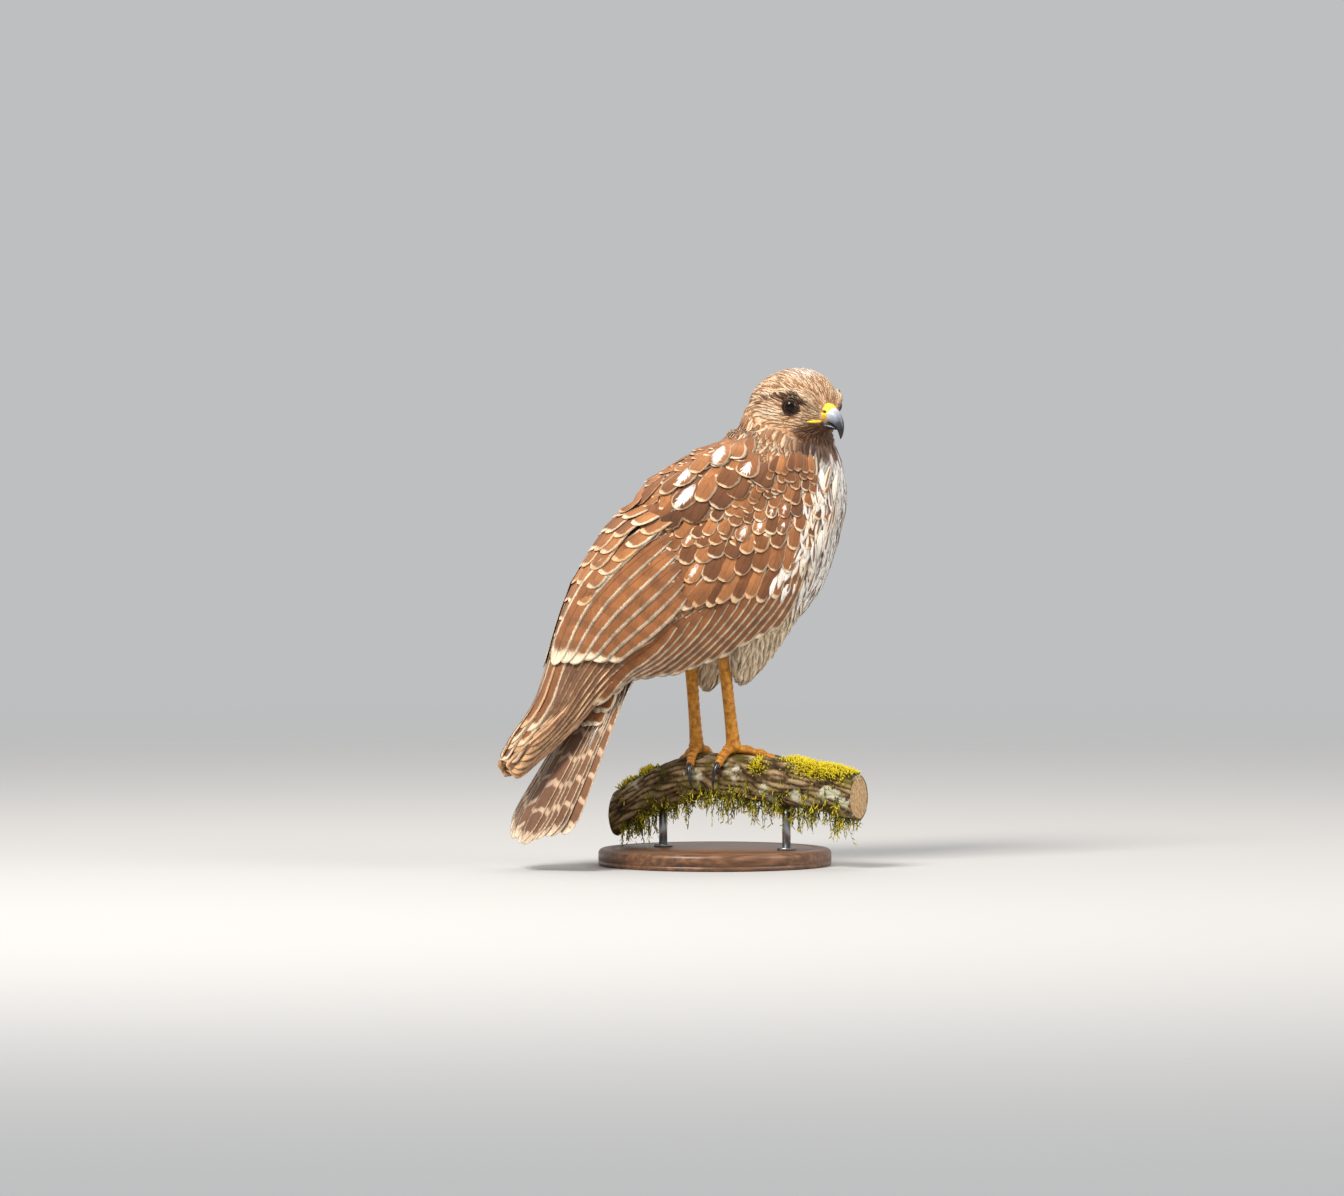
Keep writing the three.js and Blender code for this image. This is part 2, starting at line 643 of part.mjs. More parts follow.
function toeLine(name, toe) {
  const [left, right, length, , , claw] = TOES[toe];
  const turn = rad(name === "right" ? right : left);
  const lie = (distance, height) =>
    onPerch(FOOT_ALONG[name] + distance * Math.cos(turn), distance * Math.sin(turn), height);
  return { lie, length, claw };
}
function toe(name, which, grow) {
  const { lie, length } = toeLine(name, which);
  const [, , , thick, thin] = TOES[which];
  const count = 5;
  const shares = Array.from({ length: count + 1 }, (_, i) => i / count);
  const radii = shares.map((share, i) => thick + (thin - thick) * share - (i % 2) * 0.4 + grow);
  const points = shares.map((share, i) => lie(share * length, radii[i] + GAP - grow));
  return limb(points, radii, 6, perchSide.clone().cross(perchWay));
}
function talon(name, which, grow) {
  const { lie, length, claw } = toeLine(name, which);
  const thin = TOES[which][4];
  const shares = [0, 0.2, 0.4, 0.6, 0.8, 1];
  const points = shares.map((share) =>
    lie(length - SINK + share * claw, thin + 4 * Math.sin(Math.PI * share * 0.75) - 1.2 * share),
  );
  const radii = shares.map((share) => 2.7 * (1 - share) ** 0.7 + 0.25 + grow);
  return limb(points, radii, 6, perchSide.clone().cross(perchWay));
}

// Each node's solid, each cut clear of what it grows from
const solids = {};
const wholeTrunk = trunk(0);
const grownTrunk = trunk(GAP);
const grownSkull = skull(GAP);
const torso = wholeTrunk.intersect(trunkSlab(NECK_CUT, true, GAP / 2));
const neckForm = wholeTrunk.intersect(trunkSlab(NECK_CUT, false, GAP / 2));

const headCuts = [bill(UPPER_BILL, GAP), bill(LOWER_BILL, GAP)];
const headForms = [skull(0)];
const grownHead = [grownSkull];
for (const [name, side] of Object.entries(sides)) {
  solids[`eye_${name}`] = ball(eyeMiddle(side), EYE_RADIUS);
  headCuts.push(ball(eyeMiddle(side), EYE_RADIUS + GAP), gape(side));
  headForms.push(lids(side, 0), brow(side, 0));
  grownHead.push(lids(side, GAP), brow(side, GAP), ball(eyeMiddle(side), EYE_RADIUS + GAP));
}
solids.head = largest(unite(headForms).subtract(unite(headCuts)));
solids.neck = largest(neckForm.subtract(unite(grownHead)));
const wholeBill = bill(UPPER_BILL, 0);
solids.cere = largest(wholeBill.intersect(billBlock(CERE_END - GAP / 2, false)).subtract(nostril()));
solids.bill_upper = largest(wholeBill.intersect(billBlock(CERE_END + GAP / 2, true)));
solids.bill_lower = largest(bill(LOWER_BILL, 0).subtract(bill(UPPER_BILL, GAP)));
solids.torso = torso.subtract(grownSkull);

for (const [name, side] of Object.entries(sides)) {
  const feathered = unite([wingCore(side), ...plumage(side)]);
  solids[`wing_${name}`] = largest(feathered.subtract(unite([grownTrunk, grownSkull])));
}

solids.tail = largest(unite([tailStump(), ...tailFeathers()]).subtract(grownTrunk));

const footCuts = [];
for (const name of Object.keys(sides)) {
  const toes = Object.keys(TOES);
  const claws = unite(toes.map((which) => talon(name, which, GAP)));
  const foot = unite([...toes.map((which) => toe(name, which, 0)), palm(name, 0)]);
  const grownFoot = unite([...toes.map((which) => toe(name, which, GAP)), palm(name, GAP)]);
  solids[`foot_${name}`] = largest(foot.subtract(claws));
  for (const which of toes) solids[`talon_${name}_${which}`] = talon(name, which, 0);
  solids[`leg_${name}`] = largest(shank(name, 0).subtract(unite([grownFoot, grownTrunk])));
  const trouser = thigh(name, 0).subtract(unite([grownTrunk, shank(name, GAP)]));
  const wing = solids[`wing_${name}`];
  solids[`wing_${name}`] = largest(wing.subtract(thigh(name, GAP)));
  solids[`thigh_${name}`] = largest(trouser);
  footCuts.push(grownFoot, claws);
}

const rods = ROD_PLACES.map((along) => rod(along, GAP));
solids.perch = largest(perchPlain().subtract(unite([...footCuts, ...rods])));
ROD_PLACES.forEach((along, i) => {
  solids[`stand_rod_${i + 1}`] = rod(along, 0);
});
solids.stand_base = base().subtract(unite(rods));

// Looks of each kind of node: colour, roughness, metalness
const LOOKS = {
  torso: [COLOURS.pale, 0.9, 0],
  neck: [COLOURS.brown, 0.9, 0],
  head: [COLOURS.brown, 0.9, 0],
  wing: [COLOURS.brown, 0.8, 0],
  tail: [COLOURS.brown, 0.8, 0],
  thigh: [COLOURS.pale, 0.9, 0],
  cere: [COLOURS.cere, 0.5, 0],
  bill: [COLOURS.horn, 0.35, 0],
  eye: [COLOURS.eye, 0.1, 0],
  leg: [COLOURS.leg, 0.6, 0],
  foot: [COLOURS.leg, 0.6, 0],
  talon: [COLOURS.claw, 0.35, 0],
  perch: [COLOURS.bark, 0.95, 0],
  stand_base: [COLOURS.wood, 0.5, 0],
  stand_rod: [COLOURS.steel, 0.3, 1],
};

// The pieces hang from a group whose origin is the branch's top under the feet.
const hawk = new THREE.Group();
const standing = new THREE.Group();
standing.position.z = PERCH_TOP;
hawk.add(standing);
for (const [name, piece] of Object.entries(solids)) {
  const { vertProperties, triVerts } = piece.getMesh();
  const geometry = new THREE.BufferGeometry();
  geometry.setAttribute("position", new THREE.BufferAttribute(vertProperties, 3));
  geometry.setIndex(new THREE.BufferAttribute(triVerts, 1));
  geometry.computeVertexNormals();
  const kind = Object.keys(LOOKS).find((key) => name.startsWith(key));
  const [color, roughness, metalness] = LOOKS[kind];
  const mesh = new THREE.Mesh(geometry, new THREE.MeshStandardMaterial({ color, roughness, metalness }));
  mesh.name = name;
  standing.add(mesh);
}

export default hawk;
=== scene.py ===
# A life-size young hawk on a cut length of branch, held over a turned base by two rods, with its soft
# studio light. Shapes are worked out in the bird's own millimetres: +X is the way the body faces, +Y its
# left, and the origin is the top of the branch under its feet. They go into the scene in metres, raised to
# the frame's own height.
import math

import bpy
import numpy as np
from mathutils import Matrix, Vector
from mathutils.bvhtree import BVHTree


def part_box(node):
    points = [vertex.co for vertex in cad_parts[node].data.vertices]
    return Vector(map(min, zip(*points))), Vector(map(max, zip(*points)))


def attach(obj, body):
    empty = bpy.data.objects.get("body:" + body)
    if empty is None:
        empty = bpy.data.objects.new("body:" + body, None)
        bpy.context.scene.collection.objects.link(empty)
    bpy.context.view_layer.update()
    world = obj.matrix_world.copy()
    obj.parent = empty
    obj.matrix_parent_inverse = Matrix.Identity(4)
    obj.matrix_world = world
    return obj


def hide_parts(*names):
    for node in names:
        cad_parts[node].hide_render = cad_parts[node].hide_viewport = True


bl_info = {
    "name": "Perched Hawk",
    "version": (1, 0, 0),
    "blender": (4, 5, 0),
    "location": "3D View > Sidebar > Hawk",
    "description": "Builds the plumage, bill, eyes, legs, branch and stand of a perched hawk",
    "category": "Object",
}

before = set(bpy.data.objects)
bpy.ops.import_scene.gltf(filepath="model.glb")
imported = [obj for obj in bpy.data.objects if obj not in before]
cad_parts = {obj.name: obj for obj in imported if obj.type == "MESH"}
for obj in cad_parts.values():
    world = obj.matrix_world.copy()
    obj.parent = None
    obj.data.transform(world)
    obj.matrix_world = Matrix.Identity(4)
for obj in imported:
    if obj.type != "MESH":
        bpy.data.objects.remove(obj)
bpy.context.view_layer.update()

PERCH_TOP = round(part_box("perch")[1].z * 1000, 1)
BASE_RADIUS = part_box("stand_base")[1].x * 1000
BASE_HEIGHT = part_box("stand_base")[1].z * 1000

# The trunk from inside the head to the rump: x, z, then reach to the back, to the belly and to each side
TRUNK = [
    (50, 304, 8, 10, 8),
    (53, 292, 31, 24, 22),
    (60, 270, 48, 44, 37),
    (52, 243, 47, 72, 48),
    (32, 210, 69, 87, 56),
    (8, 176, 84, 93, 60),
    (-20, 147, 76, 72, 57),
    (-46, 122, 56, 51, 46),
    (-68, 98, 37, 37, 33),
    (-84, 78, 22, 23, 20),
    (-93, 66, 7, 8, 7),
]
TRUNK_POWER = 2.3

# The skull: forward, middle height, reach up, reach down, reach to each side
HEAD_AT = np.array([70.5, 0, 290])
HEAD_YAW = -65
HEAD_PITCH = 10
SKULL = [
    (-41, -6, 6, 8, 7),
    (-38, -6, 13, 16, 14),
    (-31, -5, 22, 26, 24),
    (-18, -3, 31, 34, 32),
    (-3, -1, 35, 36.5, 35.5),
    (10, 0, 35, 36, 35.5),
    (21, 0, 32, 32.5, 31.5),
    (30, 0, 26, 27, 25),
    (37, -1, 18.5, 20, 17),
    (42, -2, 11, 13, 10),
    (44.5, -2, 5, 6, 4.5),
]
SKULL_POWER = 2.05
EYE_AT = (20.3, 23.4, 4.6)
EYE_RADIUS = 9
EYE_AZIMUTH = 56
# The brow over each eye: forward, outward, up, radius
BROW = [(41, 8, 7, 1.5), (35, 17, 11, 3.2), (27, 26.5, 14, 3.8), (17, 32.5, 14.5, 3.4), (6, 35, 13, 1.5)]
# Bills along their middle line: forward, up, half height, half width
UPPER_BILL = [
    (33, 2.6, 8.3, 9.2),
    (41.5, 2.3, 7.4, 8),
    (47, 1.2, 6.5, 6.6),
    (51.6, -1.2, 5.4, 5.3),
    (55.4, -4.8, 4.1, 4.1),
    (57.8, -9.4, 2.7, 2.8),
    (58.8, -13.8, 1.4, 1.5),
    (58.7, -16.6, 0.3, 0.35),
]
LOWER_BILL = [
    (28, -9.6, 2.2, 9.5),
    (36, -8.8, 2.8, 8.2),
    (43, -8.2, 2.8, 6.4),
    (48.5, -8.2, 2.4, 4.6),
    (53, -8.8, 1.2, 2.6),
]
CERE_END = 45.6
# A nostril's place and reach: forward and up
NOSTRIL_AT = (43, 3.6)
NOSTRIL_REACH = (2.0, 1.25)
NOSTRIL_DEPTH = 2.2
# The corner of the mouth on each cheek: forward and degrees round from the crown
GAPE = [(42.5, 101), (39, 103), (35.5, 104)]

# A folded wing from the wrist to the tip: upper and lower edge in side view (x, z, x, z), then how far out
# its upper edge, middle and lower edge lie, and half its thickness
WING = [
    (71, 231, 87, 207, 33, 38, 35, 4),
    (54, 237, 83, 184, 39, 51, 47, 8),
    (20, 229, 63, 154, 43, 61, 56, 10),
    (-13, 217, 41, 126, 43, 66, 59, 10),
    (-50, 201, 10, 107, 39, 67, 58, 10),
    (-83, 179, -26, 87, 31, 62, 53, 8),
    (-113, 147, -60, 74, 22, 53, 47, 5),
    (-131, 112, -92, 68, 14, 42, 41, 3.2),
    (-142, 80, -114, 51, 11, 34, 35, 2.6),
    (-155, 42, -137, 25, 8, 25, 27, 2.2),
    (-176, 12, -162, 3, 6, 16, 17, 1.8),
    (-188, -10, -182, -13, 5, 10, 10, 1.4),
]

TAIL_ROOT = np.array([-73, 0, 105])
TAIL_PITCH = 58
TAIL_SWING = 12
TAIL_TWIST = 4
TAIL_LENGTH = 210
TAIL_SHORTER = 18
TAIL_START = 25
TAIL_FEATHERS = 12
TAIL_HALF = (10, 38)
TAIL_VANE = 20
TAIL_OVERLAP = 4
TAIL_TENT = 9
TAIL_STUMP = [(-20, 14, 12), (10, 17, 12), (35, 19, 9), (60, 20, 5), (80, 17, 2)]
# Rows of tail coverts above (1) and below (-1): kind, feathers in the first row, where it starts, length,
# height off the tail, more height for each row, and share of the vane that is centre
TAIL_COVERTS = {1: ("round", 8, 64, 34, 5, 1.6, 0.7), -1: ("tuft", 11, 84, 42, 7, 2.8, 0.3)}
TAIL_COVERT_ROWS = 4
TAIL_COVERT_WIDTH = 15

FOOT_ALONG = {"left": -17, "right": 17}
ANKLE = {"left": (-16, 18, 84), "right": (0, -18, 90)}
SHANK_RADIUS = 4.8
# Thigh from the ankle: x, y outwards, z, reach fore and aft, reach sideways
THIGH = [
    (42, 9, 60, 36, 22),
    (35, 8, 34, 32, 21),
    (26, 6, 10, 26, 17),
    (20, 4, -10, 19, 13),
    (17, 3, -25, 10, 8),
    (16, 2, -33, 4, 4),
]
# Toes: heading on the left and on the right foot, length along the bark, radius at root and tip, length of
# the claw
TOES = {
    "middle": (104, 68, 42, 4.4, 3.2, 15),
    "inner": (70, 95, 31, 4.5, 3.3, 18),
    "outer": (146, 24, 34, 4, 3, 14),
    "hind": (-80, -102, 22, 4.6, 3.4, 20),
}
PERCH_RADIUS = 19.5
PERCH_TURN = -45
PERCH_ENDS = (-90, 132)
PERCH_FALL = (34, 16)
ROD_PLACES = (-48, 66)
ROD_RADIUS = 3.5
SIDES = {"left": 1, "right": -1}
UP = np.array([0, 0, 1.0])
LEFT = np.array([0, 1.0, 0])
NO_TRIANGLES = np.zeros((0, 3), np.int32)

random = np.random.default_rng(11)


def linear(code):
    """The linear colour of an sRGB hex code."""
    parts = np.array([int(code[i : i + 2], 16) for i in (1, 3, 5)]) / 255
    return np.where(parts <= 0.04045, parts / 12.92, ((parts + 0.055) / 1.055) ** 2.4)


def rows_at(table, u):
    """Rows of a table at fractional row numbers u, on a Catmull-Rom spline through its rows."""
    table = np.asarray(table, float)
    u = np.asarray(u, float)
    i = np.clip(np.floor(u).astype(int), 0, len(table) - 2)
    f = (u - i)[..., None]
    a, b, c, d = (table[np.clip(i + k, 0, len(table) - 1)] for k in (-1, 0, 1, 2))
    return b + 0.5 * ((c - a) * f + (2 * a - 5 * b + 4 * c - d) * f**2 + (3 * b - a - 3 * c + d) * f**3)


def even(table, count):
    """Evenly spaced row numbers of a table, from its first row to its last."""
    return np.linspace(0, len(table) - 1, count)


def smooth(low, high, value):
    """0 below low, 1 above high, and a soft step between."""
    t = np.clip((np.asarray(value, float) - low) / (high - low), 0, 1)
    return t * t * (3 - 2 * t)


def unit(vectors):
    """Vectors brought to length one."""
    return vectors / np.maximum(np.linalg.norm(vectors, axis=-1, keepdims=True), 1e-9)


def dot(a, b):
    """Dot products of rows."""
    return np.einsum("...i,...i->...", a, b)


def mix(a, b, share):
    """Between a and b by a share for each row."""
    share = np.asarray(share, float)[..., None]
    return a * (1 - share) + b * share


def turns(count):
    """Angles evenly round a full turn."""
    return np.linspace(0, 2 * np.pi, count, endpoint=False)


def flat_point(x, z):
    """Points or directions in the bird's middle plane."""
    return np.stack([x, 0 * x, z], -1)


def ripples(points, pitch, seed, waves=9):
    """Smooth noise from -1 to 1: a sum of sine waves in random directions, each about pitch millimetres
    long."""
    source = np.random.default_rng(seed)
    ways = unit(source.normal(size=(waves, 3))) * (2 * np.pi / pitch) * source.uniform(0.6, 1.7, (waves, 1))
    return np.sin(points @ ways.T + source.uniform(0, 6.28, waves)).sum(-1) / (0.75 * waves**0.75)


def turned(way, axis, degrees):
    """A vector turned about an axis."""
    axis = unit(np.asarray(axis, float))
    way = np.asarray(way, float)
    cos, sin = math.cos(math.radians(degrees)), math.sin(math.radians(degrees))
    return way * cos + np.cross(axis, way) * sin + axis * (axis @ way) * (1 - cos)


HEAD_AXES = np.array([turned(turned(a, LEFT, HEAD_PITCH), UP, HEAD_YAW) for a in np.eye(3)])


def from_head(places):
    """Bird places of points given as forward, left and up from the head's middle."""
    return np.asarray(places, float) @ HEAD_AXES + HEAD_AT


def to_head(points):
    """Forward, left and up from the head's middle of points in the bird's frame."""
    return (points - HEAD_AT) @ HEAD_AXES.T


def oval(middle, up, side, reach, count, power=2):
    """Rings round each middle point: reach up, down and sideways, squarer than an ellipse above power 2."""
    waves = (f(turns(count)) for f in (np.cos, np.sin))
    rise, across = (np.sign(wave) * np.abs(wave) ** (2 / power) for wave in waves)
    up, side = (np.broadcast_to(way, middle.shape)[:, None] for way in (up, side))
    tall = np.where(rise > 0, reach[:, :1], reach[:, 1:2])
    return middle[:, None] + up * (rise * tall)[..., None] + side * (across * reach[:, 2:3])[..., None]


def tube(points, high, wide, side, count, power=2):
    """A tapered tube round a path, with half height and half width at each of its points. side keeps it
    upright."""
    points = np.asarray(points, float)
    along = unit(np.gradient(points, axis=0))
    up = unit(np.cross(np.broadcast_to(side, along.shape), along))
    return oval(points, up, np.cross(along, up), np.stack([high, high, wide], -1), count, power)


def grid_quads(rows, count, close=0):
    """Quads between closed rings of points. With close at 1, the last ring is joined to the first."""
    i, j = np.meshgrid(np.arange(rows - 1 + close), np.arange(count), indexing="ij")
    k = (j + 1) % count
    here, there = i * count, (i + 1) % rows * count
    return np.stack([here + j, here + k, there + k, there + j], -1).reshape(-1, 4)


def closed_tube(rings):
    """Vertices, quads and end fans of a closed tube of rings, turned so that its faces point out."""
    rows, count, _ = rings.shape
    vertices = np.concatenate([rings.reshape(-1, 3), rings[[0, -1]].mean(1)])
    quads = grid_quads(rows, count)
    j = np.arange(count)
    k = (j + 1) % count
    last = (rows - 1) * count
    pole = 0 * j + rows * count
    fans = np.concatenate([np.stack([pole, k, j], -1), np.stack([pole + 1, last + j, last + k], -1)])
    volume = 0
    for faces in (quads, fans):
        a, b, c = (vertices[faces[:, n]] for n in range(3))
        volume += dot(a, np.cross(b, c)).sum()
    return (vertices, quads, fans) if volume > 0 else (vertices, quads[:, ::-1], fans[:, ::-1])


def joined(parts):
    """Several (vertices, quads, triangles) as one."""
    starts = np.cumsum([0] + [len(p[0]) for p in parts[:-1]])
    return tuple(np.concatenate([p[k] + (s if k else 0) for p, s in zip(parts, starts)]) for k in range(3))


ATTRIBUTE_KINDS = {1: ("FLOAT", "value"), 3: ("FLOAT_VECTOR", "vector"), 4: ("FLOAT_COLOR", "color")}


def put(name, shape, material, replaces=(), attributes=None, patches=None):
    """Makes a piece of the model from (vertices in the bird's millimetres, quads, triangles) and rides it
    on the body."""
    vertices, quads, triangles = shape
    mesh = bpy.data.meshes.new(name)
    corners = np.concatenate([quads.ravel(), triangles.ravel()]).astype(np.int32)
    starts = np.concatenate([np.arange(len(quads)) * 4, len(quads) * 4 + np.arange(len(triangles)) * 3])
    mesh.vertices.add(len(vertices))
    mesh.vertices.foreach_set("co", ((vertices + (0, 0, PERCH_TOP)) / 1000).astype(np.float32).ravel())
    mesh.loops.add(len(corners))
    mesh.loops.foreach_set("vertex_index", corners)
    mesh.polygons.add(len(starts))
    mesh.polygons.foreach_set("loop_start", starts.astype(np.int32))
    mesh.update(calc_edges=True)
    mesh.validate()
    mesh.shade_smooth()
    for key, values in (attributes or {}).items():
        kind, field = ATTRIBUTE_KINDS[1 if values.ndim == 1 else values.shape[1]]
        mesh.attributes.new(key, kind, "POINT").data.foreach_set(field, values.astype(np.float32).ravel())
    if patches is not None:
        layer = mesh.uv_layers.new(name="OFBake")
        layer.uv.foreach_set("vector", patches[corners].astype(np.float32).ravel())
    piece = bpy.data.objects.new(name, mesh)
    bpy.context.scene.collection.objects.link(piece)
    mesh.materials.append(material)
    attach(piece, "root")
    if replaces:
        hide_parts(*replaces)
    return piece


def add(tree, kind, inputs=None, **settings):
    """Adds a node to a tree: settings are its own, and inputs are values or sockets to link, by name or
    number."""
    made = tree.nodes.new("ShaderNode" + kind)
    for key, value in settings.items():
        setattr(made, key, value)
    plug(tree, made, inputs or {})
    return made


def plug(tree, node, inputs):
    """Sets or links inputs of a node."""
    for key, value in inputs.items():
        if isinstance(value, bpy.types.NodeSocket):
            tree.links.new(value, node.inputs[key])
        else:
            node.inputs[key].default_value = value


class Finish:
    """A material with its Principled shader, and short names for the few kinds of node that the finishes
    use."""

    def __init__(self, name, **sockets):
        self.material = bpy.data.materials.new(name)
        self.material.use_nodes = True
        self.tree = self.material.node_tree
        self.shader = self.tree.nodes["Principled BSDF"]
        self.set(**sockets)

    def set(self, **sockets):
        """Sets or links the shader's sockets, with _ for a space."""
        plug(self.tree, self.shader, {key.replace("_", " "): value for key, value in sockets.items()})

    def attribute(self, name, output="Fac"):
        return add(self.tree, "Attribute", attribute_name=name).outputs[output]

    def parts(self, vector):
        return add(self.tree, "SeparateXYZ", {0: vector}).outputs

    def vector(self, *values):
        return add(self.tree, "CombineXYZ", dict(enumerate(values))).outputs[0]

    def math(self, operation, *values):
        return add(self.tree, "Math", dict(enumerate(values)), operation=operation).outputs[0]

    def times(self, a, b, plus=0.0):
        """a times b, plus a third."""
        return self.math("MULTIPLY_ADD", a, b, plus)

    def noise(self, scale, detail, rough=0.5, at=None, stretch=None):
        """Noise on Object coordinates or on a vector, stretched along the axes."""
        if at is None:
            at = add(self.tree, "TexCoord").outputs["Object"]
        if stretch:
            at = add(self.tree, "Mapping", {"Vector": at, "Scale": stretch}).outputs[0]
        inputs = {"Vector": at, "Scale": scale, "Detail": detail, "Roughness": rough}
        return add(self.tree, "TexNoise", inputs).outputs["Fac"]

    def step(self, value, low, high, start=0.0, end=1.0, kind="LINEAR"):
        """A value from low to high turned into start to end."""
        inputs = {"Value": value, "From Min": low, "From Max": high, "To Min": start, "To Max": end}
        return add(self.tree, "MapRange", inputs, interpolation_type=kind).outputs[0]

    def mix(self, share, a, b):
        """Between two colours, which may be sockets or linear values."""
        a, b = (v if isinstance(v, bpy.types.NodeSocket) else (*v, 1) for v in (a, b))
        return add(self.tree, "Mix", {0: share, 6: a, 7: b}, data_type="RGBA").outputs[2]

    def scaled(self, colour, tone):
        return add(self.tree, "VectorMath", {0: colour, "Scale": tone}, operation="SCALE").outputs[0]

    def ramp(self, value, stops):
        """Colours by value: stops are (position, hex code)."""
        made = add(self.tree, "ValToRGB", {0: value})
        elements = made.color_ramp.elements
        while len(elements) < len(stops):
            elements.new(0.5)
        for element, (position, code) in zip(elements, stops):
            element.position = position
            element.color = (*linear(code), 1)
        return made.outputs[0]

    def bump(self, height, strength, distance, **more):
        inputs = {"Height": height, "Strength": strength, "Distance": distance, **more}
        return add(self.tree, "Bump", inputs).outputs[0]

    def linked(self, socket):
        """What a socket of the shader is linked to."""
        return self.shader.inputs[socket].links[0].from_socket


def trunk_frame(u):
    """Middle points of the trunk and their down and back directions at rows u."""
    near = (np.clip(u + d, 0, len(TRUNK) - 1) for d in (0, 0.2, -0.2))
    middle, after, before = (rows_at(TRUNK, row)[..., :2] for row in near)
    step = after - before
    down = unit(flat_point(step[..., 0], step[..., 1]))
    return flat_point(middle[..., 0], middle[..., 1]), down, flat_point(down[..., 2], -down[..., 0])


def trunk_rings(u, grow=0, count=48):
    """Rings of the trunk at rows u, grown outwards."""
    middle, _, back = trunk_frame(u)
    return oval(middle, back, LEFT, rows_at(TRUNK, u)[:, 2:5] + grow, count, TRUNK_POWER)


def skull_rings(u, grow=0, count=48):
    """Rings of the skull at rows u, grown outwards."""
    rows = rows_at(SKULL, u)
    middle = from_head(flat_point(rows[:, 0], rows[:, 1]))
    return oval(middle, HEAD_AXES[2], HEAD_AXES[1], rows[:, 2:5] + grow, count, SKULL_POWER)


def wing_point(side, u, v):
    """Points of a folded wing's outer face: row u, and v from its upper edge, 0, to its lower edge, 1."""
    x0, z0, x1, z1, high, middle, low, _ = np.moveaxis(rows_at(WING, u), -1, 0)
    bulge = 2 * middle - (high + low) / 2
    out = (1 - v) ** 2 * high + 2 * v * (1 - v) * bulge + v * v * low
    return np.stack([x0 + (x1 - x0) * v, side * out, z0 + (z1 - z0) * v], -1)


def wing_normal(side, u, v):
    """Outward directions of a wing's outer face."""
    along = wing_point(side, u + 0.1, v) - wing_point(side, u - 0.1, v)
    across = wing_point(side, u, v + 0.05) - wing_point(side, u, v - 0.05)
    normal = unit(np.cross(along, across))
    return normal * np.where(normal[..., 1:2] * side < 0, -1, 1)


def wing_rings(side, u, depth=0, across=14):
    """Closed sections of a wing: its outer face sunk by depth, and an inner face under it."""
    uu, vv = np.meshgrid(u, np.linspace(0, 1, across), indexing="ij")
    normal = wing_normal(side, uu, vv)
    outer = wing_point(side, uu, vv) - normal * depth
    thick = 2 * rows_at(WING, u)[:, 7:8] * np.sqrt(np.sin(np.pi * vv[:, 1:-1]))
    inner = outer[:, 1:-1] - normal[:, 1:-1] * np.maximum(thick - 2 * depth, 1)[..., None]
    inner[..., 1] = side * np.maximum(side * inner[..., 1], 1)
    return np.concatenate([outer, inner[:, ::-1]], 1)


TAIL_ALONG = turned(turned((-1, 0, 0), LEFT, -TAIL_PITCH), UP, TAIL_SWING)
TAIL_LEFT = turned(turned(LEFT, UP, TAIL_SWING), TAIL_ALONG, -TAIL_TWIST)
TAIL_UP = -np.cross(TAIL_ALONG, TAIL_LEFT)


def tail_point(distance, sideways, lift=0):
    """Points of the tail: down from its root, to its left, and off its upper face, which falls away like a
    tent."""
    tent = TAIL_TENT * (sideways / (TAIL_HALF[1] + TAIL_VANE / 2)) ** 2
    terms = [(distance, TAIL_ALONG), (sideways, TAIL_LEFT), (lift - tent, TAIL_UP)]
    return TAIL_ROOT + sum(np.asarray(a, float)[..., None] * b for a, b in terms)


def from_ankle(name, rows):
    """Bird places of points given from an ankle, outwards along y."""
    return np.array(ANKLE[name]) + rows * (1, SIDES[name], 1)


def thigh_rings(name, u, grow=0, count=32):
    """Rings of a feathered thigh at rows u."""
    rows = rows_at(THIGH, u)
    return tube(from_ankle(name, rows[:, :3]), rows[:, 3] + grow, rows[:, 4] + grow, LEFT, count)


def eye_middle(side):
    """The middle of an eyeball."""
    return from_head([EYE_AT[0], side * EYE_AT[1], EYE_AT[2]])


def eye_look(side):
    """The way an eye looks."""
    angle = math.radians(EYE_AZIMUTH)
    return np.array([math.cos(angle), side * math.sin(angle), 0]) @ HEAD_AXES


def from_look(points, side):
    """Offsets of points from an eye's middle, their lengths, and their cosines against the way it looks."""
    offset = points - eye_middle(side)
    return offset, np.linalg.norm(offset, axis=-1), unit(offset) @ eye_look(side)


PERCH_WAY = turned((1, 0, 0), UP, PERCH_TURN)
PERCH_SIDE = np.array([-PERCH_WAY[1], PERCH_WAY[0], 0])


def perch_middle(along):
    """The branch's middle line, which droops to its ends by a power of the distance."""
    along = np.asarray(along, float)
    end, fall = (np.where(along < 0, *pair) for pair in (PERCH_ENDS, PERCH_FALL))
    droop = fall * np.abs(along / end) ** 1.8
    return PERCH_WAY * along[..., None] - UP * (PERCH_RADIUS + droop)[..., None]


def on_perch(along, round_it, height):
    """Points on the bark: along the branch, millimetres round it from its top, and above it."""
    angle = np.asarray(round_it, float) / PERCH_RADIUS
    reach = PERCH_RADIUS + np.asarray(height, float)
    outward = PERCH_SIDE * np.sin(angle)[..., None] + UP * np.cos(angle)[..., None]
    return perch_middle(along) + outward * reach[..., None]


